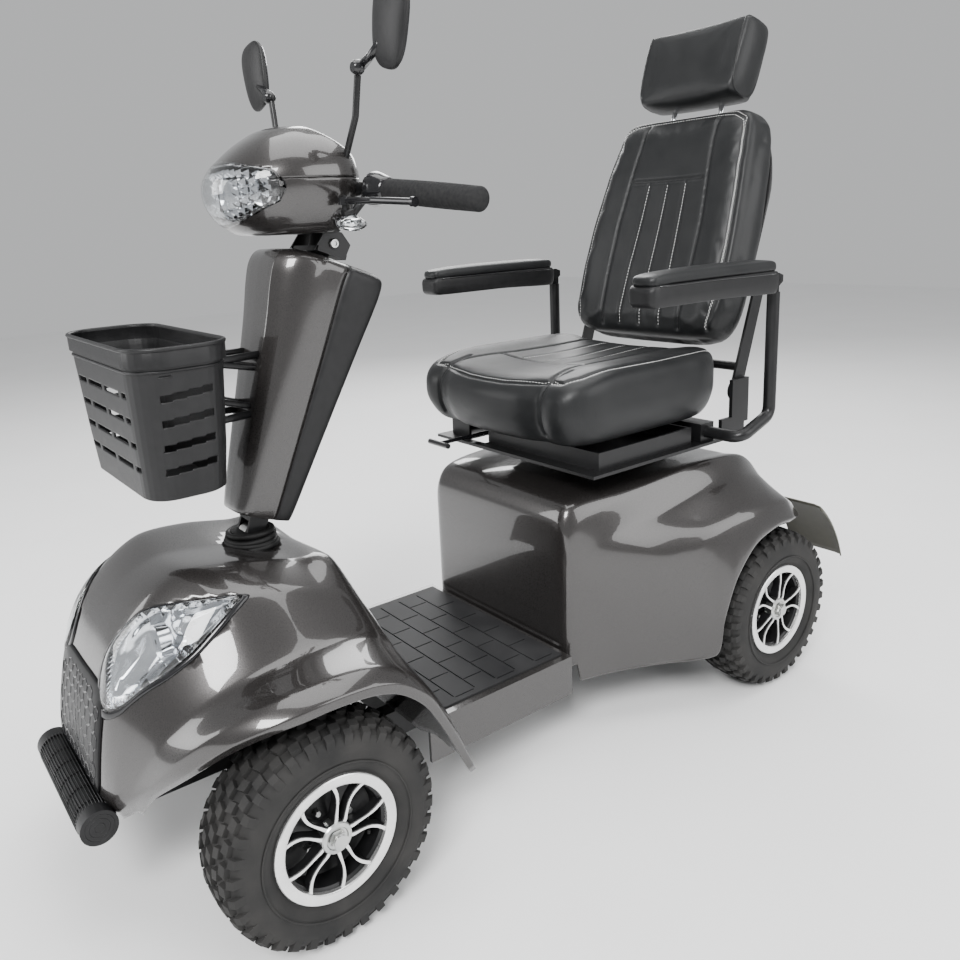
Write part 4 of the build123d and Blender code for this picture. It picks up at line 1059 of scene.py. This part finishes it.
def stitches(name, obj, lines, direction, pitch=6.5, length=4.4, radius=0.7):
    """Rows of single thread stitches lying on the cushion."""
    verts, faces = [], []
    for line in lines:
        spots = land(obj, dense(line, pitch / 2), direction)
        for first, second in zip(spots[::2], spots[1::2]):
            if not first or not second or (first[0] - second[0]).length > 0.012:
                continue
            n = first[1] if first[1].dot(Vector(direction)) < 0 else -first[1]
            along = (second[0] - first[0]).normalized()
            side = along.cross(n).normalized()
            mid = (first[0] + second[0]) / 2
            base = len(verts)
            for t, grow in ((-1, 0.3), (-0.5, 1.0), (0.5, 1.0), (1, 0.3)):
                for a in range(6):
                    w = 2 * math.pi * a / 6
                    verts.append(mid + along * t * length / 2000 + n * (0.0003
                        + grow * radius * math.sin(w) / 1000) + side * grow * radius * math.cos(w) / 1000)
            faces += [tuple(base + i for i in f) for f in grid_faces(4, 6, wrap=True)]
    return mesh_object(name, verts, faces, THREAD)


# seat: waisted front corners, raised bolsters, a dished middle
SEAT_Y, SEAT_Z = 772, 634


def seat_shape(x, y, z):
    side = abs(x) / 236
    top = ease(z, -10, 60)
    lift = 8 * ease(abs(x), 120, 190) * ease(y, -190, -60) - 12 * bell(x, 120) * bell(y - 20, 170)
    slope = -10 * ease(-y, 90, 218) - 12 * ease(-y, 170, 222)
    wide = 1 - 0.055 * ease(-y, 120, 222) - 0.03 * ease(y, 120, 220)
    front = ease(-y, 100, 215)
    scallop = 12 * bell(abs(x) - 150, 26) - 12 * bell(x, 110)
    tuck = 14 * ease(-z, 10, 66) * (front + 0.6 * ease(side, 0.7, 1.0))
    under = 1 - 0.05 * ease(-z, 0, 66)
    back = 16 * ease(y, 150, 218) * bell(x, 190)
    return (x * wide * under, SEAT_Y + y * under + front * scallop + 0.5 * tuck * front - back * 0.3,
        SEAT_Z + z + top * (lift + slope))


seat = rounded_block("seat_pad", (238, 219, 68), (9, 9, 6), seat_shape, LEATHER)
inflate(seat, 6, lambda x, d, z: 1.0 if z < 588 else (0.6 * bell(abs(x) - 168, 7) if z > 640 else 0), 4.5)
seat_rim = [(-206, 972, 700), (-214, 900, 700), (-216, 800, 700), (-214, 700, 700), (-202, 620, 700),
    (-184, 588, 700), (-150, 590, 700)]
front_rim = [(-150, 590, 700), (-100, 572, 700), (-50, 564, 700), (0, 562, 700), (50, 564, 700),
    (100, 572, 700), (150, 590, 700)]
left_rim = [(-x, d, z) for x, d, z in seat_rim]
centre_panel = [[(side * 112, 966, 700), (side * 116, 850, 700), (side * 120, 740, 700),
    (side * 128, 660, 700), (side * 150, 592, 700)] for side in (1, -1)]
cross = [[(-119, 706, 700), (-60, 700, 700), (0, 698, 700), (60, 700, 700), (119, 706, 700)]]
seat_ribs = [[(x, 960, 700), (x * 1.05, 840, 700), (x * 1.1, 712, 700)] for x in (-56, 0, 56)]


def drop(obj, lines, direction=(0, 0, -1)):
    """The same lines lying on the cushion, back in mm."""
    out = []
    for line in lines:
        spots = [s for s in land(obj, dense(line, 4), direction) if s]
        out.append([(s[0].x * 1000, s[0].y * 1000 - AXLE_Y, s[0].z * 1000) for s in spots])
    return out


groove(seat, drop(seat, [seat_rim, left_rim, front_rim] + centre_panel + cross), 4.5, 4.5)
groove(seat, drop(seat, seat_ribs), 2.6, 5.0)
front_corners = [[(side * 151, 500, z) for z in range(700, 580, -6)] for side in (1, -1)]
groove(seat, drop(seat, front_corners, (0, 1, 0)), 4.5, 4.0)
place(seat, "seat", ["seat_cushion"])


def offset_line(line, amount):
    return [(x + math.copysign(amount, x) if abs(x) > 120 else x, d - (amount if abs(x) <= 151 else 0), z)
        for x, d, z in line]


seat_thread = join([stitches("seat_thread_rim", seat, [offset_line(seat_rim, 3), offset_line(seat_rim, -5),
    offset_line(left_rim, 3), offset_line(left_rim, -5), offset_line(front_rim, -5)], (0, 0, -1)),
    stitches("seat_thread_ribs", seat, seat_ribs, (0, 0, -1)),], "seat_thread")
place(seat_thread, "seat")

# back: a tapered shield with bolsters, a headroom panel and three sewn ribs
BACK_LEAN = math.radians(19)


def on_back(x, y, h):
    return (x, 1005 + y * math.cos(BACK_LEAN) + h * math.sin(BACK_LEAN),
        650 - y * math.sin(BACK_LEAN) + h * math.cos(BACK_LEAN))


def back_shape(x, y, z):
    h = 300 + z
    wide = np.interp(h, (55, 110, 200, 300, 420, 545), (0.93, 0.985, 1.0, 0.985, 0.925, 0.84))
    front = ease(-y, -10, 40)
    bolster = -6 * ease(abs(x), 120, 175) * bell(h - 260, 190) + 9 * bell(x, 110) * bell(h - 270, 210)
    return on_back(x * wide, y * (1 - 0.12 * ease(h, 400, 545)) + front * bolster, h)


back = rounded_block("back_pad", (211, 46, 246), (10, 5, 10), back_shape, LEATHER)


def back_coords(x, d, z):
    dy, dz = d - 1005, z - 650
    rearward = dy * math.cos(BACK_LEAN) - dz * math.sin(BACK_LEAN)
    height = dy * math.sin(BACK_LEAN) + dz * math.cos(BACK_LEAN)
    return x, rearward, height


def back_held(x, d, z):
    _, y, h = back_coords(x, d, z)
    return 1.0 if y > 30 else 0.0


inflate(back, 6, back_held, 6)
forward = (0, math.cos(BACK_LEAN), -math.sin(BACK_LEAN))


def half_width(h):
    return 210 * np.interp(h, (55, 110, 200, 300, 420, 545), (0.93, 0.985, 1.0, 0.985, 0.925, 0.84))


rim_line = [on_back(-(half_width(h) - 20), -60, h) for h in (75, 130, 200, 280, 360, 440, 490, 512)]
rim_line += [on_back(-half_width(520) + 44, -60, 526), on_back(-100, -60, 531), on_back(0, -60, 533)]
rim_right = [(-x, d, z) for x, d, z in rim_line[::-1]]
panels = [[on_back(side * x, -60, h) for x, h in ((106, 75), (112, 180), (112, 300), (104, 390), (96, 470),
    (94, 527))] for side in (1, -1)]
ledge = [[on_back(x, -60, 392) for x in range(-103, 104, 10)]]
back_ribs = [[on_back(x * s, -60, h) for s, h in ((1.05, 80), (1.08, 200), (1.0, 300), (0.94, 388))]
    for x in (-52, 0, 52)]
groove(back, drop(back, [rim_line, rim_right] + panels + ledge, forward), 4.5, 4.5)
groove(back, drop(back, back_ribs, forward), 2.4, 5.0)
place(back, "back", ["backrest_cushion"])


def scaled(line, amount):
    out = []
    for x, d, z in line:
        _, y, h = back_coords(x, d, z)
        out.append(on_back(x - math.copysign(amount, x) if abs(x) > 20 else x, y,
            h - (amount if h > 505 else 0)))
    return out


back_thread = join([stitches("back_thread_rim", back, [scaled(rim_line, a) for a in (-4, 5)]
    + [scaled(rim_right, a) for a in (-4, 5)], forward), stitches("back_thread_ribs", back, back_ribs,
    forward),], "back_thread")
place(back_thread, "back")
back_panel = rounded_block("back_board", (196, 5, 212), (9, 2, 9), lambda x, y,
    z: on_back(x * (1 - 0.1 * ease(z, 80, 212)), 47 + y, 292 + z), BLACK_PLASTIC, 18, True)
place(back_panel, "back")


def head_shape(x, y, z):
    bulge = 1 - 0.06 * (z / 84) ** 2
    return on_back(x * (1 + 0.05 * (z / 84)) * (1 - 0.03 * (y / 46) ** 2),
        -18 + y * bulge - 6 * (x / 138) ** 2, 644 + z)


pillow = rounded_block("headrest_pad", (135, 44, 80), (12, 3.4, 3.8), head_shape, LEATHER)
inflate(pillow, 5, lambda x, d, z: ease(abs(x), 96, 112), 4)
ends = []
for side in (1, -1):
    ring = []
    for k in range(48):
        a = 2 * math.pi * k / 48
        ring.append(on_back(side * 118, -18 + 30 * math.cos(a), 644 + 62 * math.sin(a)))
    tree = BVHTree.FromObject(pillow, bpy.context.evaluated_depsgraph_get())
    centre = world(on_back(side * 121, -20, 644))
    hits = []
    for p in ring:
        out = (world((side * 121, p[1], p[2])) - centre).normalized()
        out.x = 0
        hit = tree.ray_cast(centre, out.normalized(), 0.2)[0]
        if hit is not None:
            hits.append((hit.x * 1000, hit.y * 1000 - AXLE_Y, hit.z * 1000))
    ends.append(tube(f"piping{side}", hits, 2.2, LEATHER, 8, closed=True))
place(pillow, "headrest", ["headrest_cushion"])
place(join(ends, "headrest_piping"), "headrest")

# armrests: soft top over a plastic shell
HINGE = [(-14, -13), (22, -13), (36, -4), (36, 8), (22, 13), (-14, 13)]
for side, name in SIDES:
    body = f"armrest_{name}"
    cx = 303 * side

    def shell(x, y, z, cx=cx):
        rear = ease(y, 0, 180)
        return (cx + x * (1 - 0.06 * ease(-z, 0, 18)), 832 + y, 836 + z - 5 * rear * ease(-z, 0, 18))

    base_part = rounded_block(f"arm_shell_{name}", (30, 181, 19), (6, 14, 5), shell, BLACK_PLASTIC, 22, True)

    def pad(x, y, z, cx=cx):
        return (cx + x, 832 + y, 862 + z + 2 * bell(y, 150) - 2 * ease(-y, 120, 180))

    top = rounded_block(f"arm_pad_{name}", (27.5, 178, 11), (4, 12, 4), pad, LEATHER, 22)
    inflate(top, 4, lambda x, d, z: 1.0 if z < 858 else 0.0, 3)
    place(top, body, [f"armrest_{name}"])
    seam = tube(f"arm_seam_{name}", [(cx + 30.2 * sx, 832 + y, 853 - 3 * ease(y, -60, 170)) for sx,
        y in [(1, t) for t in range(-160, 165, 20)] + [(-1, t) for t in range(160, -165, -20)]], 1.3,
        BLACK_GLOSS, 6, closed=True)
    hinge = []
    for hx in (-14, 14):
        near, far = [[world((cx + hx + w, 1003 + a, 836 + b)) for a, b in HINGE] for w in (-1.5, 1.5)]
        hinge.append(slab(f"hinge{name}{hx}", near, far, FRAME_BLACK))
    place(join([base_part, seam] + hinge, f"arm_shell_{name}"), body)

# ------------------------------------------------------------ grips, mirrors, bellows
BAR_OUT, BAR_IN = Vector((335, 305, 1000)), Vector((112, 262, 1028))
for side, name in SIDES:
    inner = Vector((side * BAR_IN.x, BAR_IN.y, BAR_IN.z))
    outer = Vector((side * BAR_OUT.x, BAR_OUT.y, BAR_OUT.z))
    run = (outer - inner).normalized()
    span = (outer - inner).length
    line, radii = [], []
    for k in range(121):
        t = k / 120
        at = 44 + (span - 44 + 4) * t
        line.append(inner + run * at)
        swell = 17.2 + 0.9 * math.sin(math.pi * min(1, t * 1.05)) - 0.5 * (k % 4 == 0) * (0.12 < t < 0.9)
        radii.append(swell * (1 - max(0, (t - 0.95) / 0.05) ** 2 * 0.55) if t < 1 else 2)
    grip = tube(f"foam_grip_{name}", line, radii, FOAM, 32)
    place(grip, "tiller", ["grips"] if side == 1 else ())
    cone = tube(f"grip_cone_{name}", [inner + run * a for a in (14, 18, 30, 42, 47, 49)],
        [25, 26, 23.5, 20, 18.6, 12], BLACK_GLOSS, 32)
    place(cone, "tiller")

for side, name in SIDES:
    low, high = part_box(f"mirror_{name}")
    cx, cz = side * 216, (low[2] + high[2]) * 500
    turn = math.radians(side * 12)

    def shell(x, y, z, cx=cx, cz=cz, turn=turn, side=side):
        x, z = x * (1 + 0.16 * z / 58), z * (1 + 0.05 * side * x / 42)
        dome = y - (7 * (1 - (x / 46) ** 2) * (1 - (z / 62) ** 2) if y < 0 else 0)
        return (cx + x * math.cos(turn) + z * math.sin(turn), 253 + dome,
            cz - x * math.sin(turn) + z * math.cos(turn))

    back_shell = rounded_block(f"mirror_back_{name}", (40, 5.5, 56), (3, 3, 3), shell, BLACK_PLASTIC, 26,
        True)
    ring = []
    for scale, lift in ((0.93, 5.0), (0.92, 5.7), (0.6, 5.8), (0.05, 5.8)):
        for k in range(48):
            a = 2 * math.pi * k / 48
            c, s = math.cos(a), math.sin(a)
            norm = (abs(c) ** 3 + abs(s) ** 3) ** (1 / 3)
            ring.append(world(shell(40 * scale * c / norm, lift, 56 * scale * s / norm)))
    pane = fix_normals(mesh_object(f"pane_{name}", ring, grid_faces(4, 48, wrap=True)
        + [tuple(3 * 48 + k for k in range(48))], MIRROR))
    socket = lathe(f"mirror_socket_{name}", [(-13, 0.1), (-13, 7), (-9, 10), (-2, 11), (2, 9), (2, 0.1)],
        BLACK_GLOSS, (side * 146, 244, 1191), axis="y", turns=32, closed=False)
    arm = tube(f"mirror_neck_{name}", [(side * 146, 245, 1192), (side * 172, 247, 1203),
        (side * 196, 249, 1216)], [7, 6, 7], BLACK_GLOSS, 12)
    place(join([back_shell, pane, arm, socket], f"mirror_head_{name}"), f"mirror_{name}",
        [f"mirror_{name}"])

folds = []
for k in range(7):
    t = k / 6
    radius = 47 - 12 * t
    tilt = math.radians((7, -6, 9, -8, 6, -7, 4)[k])
    turn = 1.1 * k
    loop = []
    for q in range(40):
        a = 2 * math.pi * q / 40
        x, y = radius * math.cos(a), radius * math.sin(a)
        loop.append((x, TILT_D + y, 458 + 46 * t + math.tan(tilt) * (x * math.cos(turn)
            + y * math.sin(turn)) * 0.5))
    folds.append(tube(f"fold{k}", loop, 5.6 - 0.8 * t, RUBBER, 10, closed=True))
core = lathe("bellows_core", [(450, 0.1), (450, 46), (470, 42), (508, 30), (508, 0.1)], RUBBER,
    (0, TILT_D, 0), axis="z", turns=48, closed=False)
place(join([core] + folds, "bellows"), "steering", ["tiller_boot"])

# ribs and end rings of the bumper bar
ribs = []
for k in range(36):
    a = 2 * math.pi * k / 36
    y, z = -255 + 26 * math.cos(a), 187 + 26 * math.sin(a)
    ribs.append(tube(f"bar_rib{k}", [(-112, y, z), (112, y, z)], 0.9, BLACK_PLASTIC, 6))
for side, name in SIDES:
    for r in (7, 14, 20):
        ribs.append(tube(f"cap_ring{name}{r}", [(side * 132.6, -255 + r * math.cos(2 * math.pi * q / 32),
            187 + r * math.sin(2 * math.pi * q / 32)) for q in range(32)], 0.8, BLACK_PLASTIC, 6,
            closed=True))
place(join(ribs, "bumper_ribs"), "chassis")

# ------------------------------------------------------------ stage, lights, camera
def light(name, where, target, size, energy):
    data = bpy.data.lights.new(name, "AREA")
    data.size = size
    data.energy = energy
    lamp = bpy.data.objects.new(name, data)
    lamp.location = where
    lamp.rotation_euler = (Vector(target) - Vector(where)).to_track_quat("-Z", "Y").to_euler()
    bpy.context.collection.objects.link(lamp)
    return lamp


floor_mat = material("backdrop", (0.86, 0.86, 0.86), (0.88, 0.88, 0.88), (0.7, 0.8), 0.0, 3)
floor = mesh_object("floor", [(-9, -9, 0), (9, -9, 0), (9, 9, 0), (-9, 9, 0)], [(0, 1, 2, 3)], floor_mat,
    smooth=False)
lamps = [light("key", (2.2, -2.6, 3.2), (0, 0, 0.5), 1.4, 230), light("fill", (3.2, 1.4, 2.0), (0, 0, 0.5),
    2.6, 90), light("front", (-1.8, -3.2, 1.8), (0, -0.3, 0.5), 2.0, 70),
    light("top", (0.2, 0.4, 3.8), (0, 0, 0.5), 3.0, 120), light("rim", (-2.6, 2.2, 2.6), (0, 0, 0.6), 2.0,
    90),]
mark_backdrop(floor, *lamps)
sky = bpy.data.worlds.new("studio")
sky.use_nodes = True
sky.node_tree.nodes["Background"].inputs["Color"].default_value = (0.93, 0.94, 0.95, 1)
sky.node_tree.nodes["Background"].inputs["Strength"].default_value = 0.6
bpy.context.scene.world = sky

azimuth, elevation, roll = math.radians(53.80), math.radians(14.04), math.radians(-2.98)
back = Vector((math.sin(azimuth) * math.cos(elevation), -math.cos(azimuth) * math.cos(elevation),
    math.sin(elevation)))
right = Vector((math.cos(azimuth), math.sin(azimuth), 0))
up = back.cross(right)
camera_x = math.cos(roll) * right + math.sin(roll) * up
camera_y = -math.sin(roll) * right + math.cos(roll) * up
view = bpy.data.cameras.new("view")
view.sensor_width = 36
view.lens = 32.0
view.shift_x, view.shift_y = 0.0265, -0.0471
camera = bpy.data.objects.new("view", view)
camera.matrix_world = Matrix.Translation((1.258472, -0.928678, 0.973659)) @ Matrix((camera_x, camera_y,
    back)).transposed().to_4x4()
bpy.context.collection.objects.link(camera)
bpy.context.scene.camera = camera

# ------------------------------------------------------------ finishes of the CAD nodes that show
FINISHES = {GRAPHITE: ("floor_pan", "tiller_cover_front", "head_shell_lower", "head_shell_upper"),
    BLACK_PLASTIC: ("bumper_bar", "tiller_cover_rear", "basket", "dash_panel", "back_frame"),
    FRAME_BLACK: ("main_frame", "batteries", "transaxle", "seat_post", "seat_turntable", "seat_frame",
    "tiller_column", "handlebar", "mirror_stems", "arm_frame_left", "arm_frame_right"),
    BLACK_GLOSS: ("mirror_left", "mirror_right", "speed_dial", "brake_lever", "throttle_lever",
    "slide_lever", "recline_lever"), ZINC: ("knuckle_left", "knuckle_right", "tie_rod", "steering_shaft",
    "half_shaft_left", "half_shaft_right", "ignition_key"), CHROME: ("headrest_posts",),
    RUBBER: ("tiller_boot", "armrest_left", "armrest_right"), MAT_RUBBER: ("floor_mat",), FOAM: ("grips",),
    LEATHER: ("seat_cushion", "backrest_cushion", "headrest_cushion"),
    GLASS: ("headlamp_lens", "indicators"), OLIVE: ("freewheel_lever",),}
for finish, names in FINISHES.items():
    for name in names:
        node = frame["nodes"][name]
        node.data.materials.clear()
        node.data.materials.append(finish)

low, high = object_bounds()
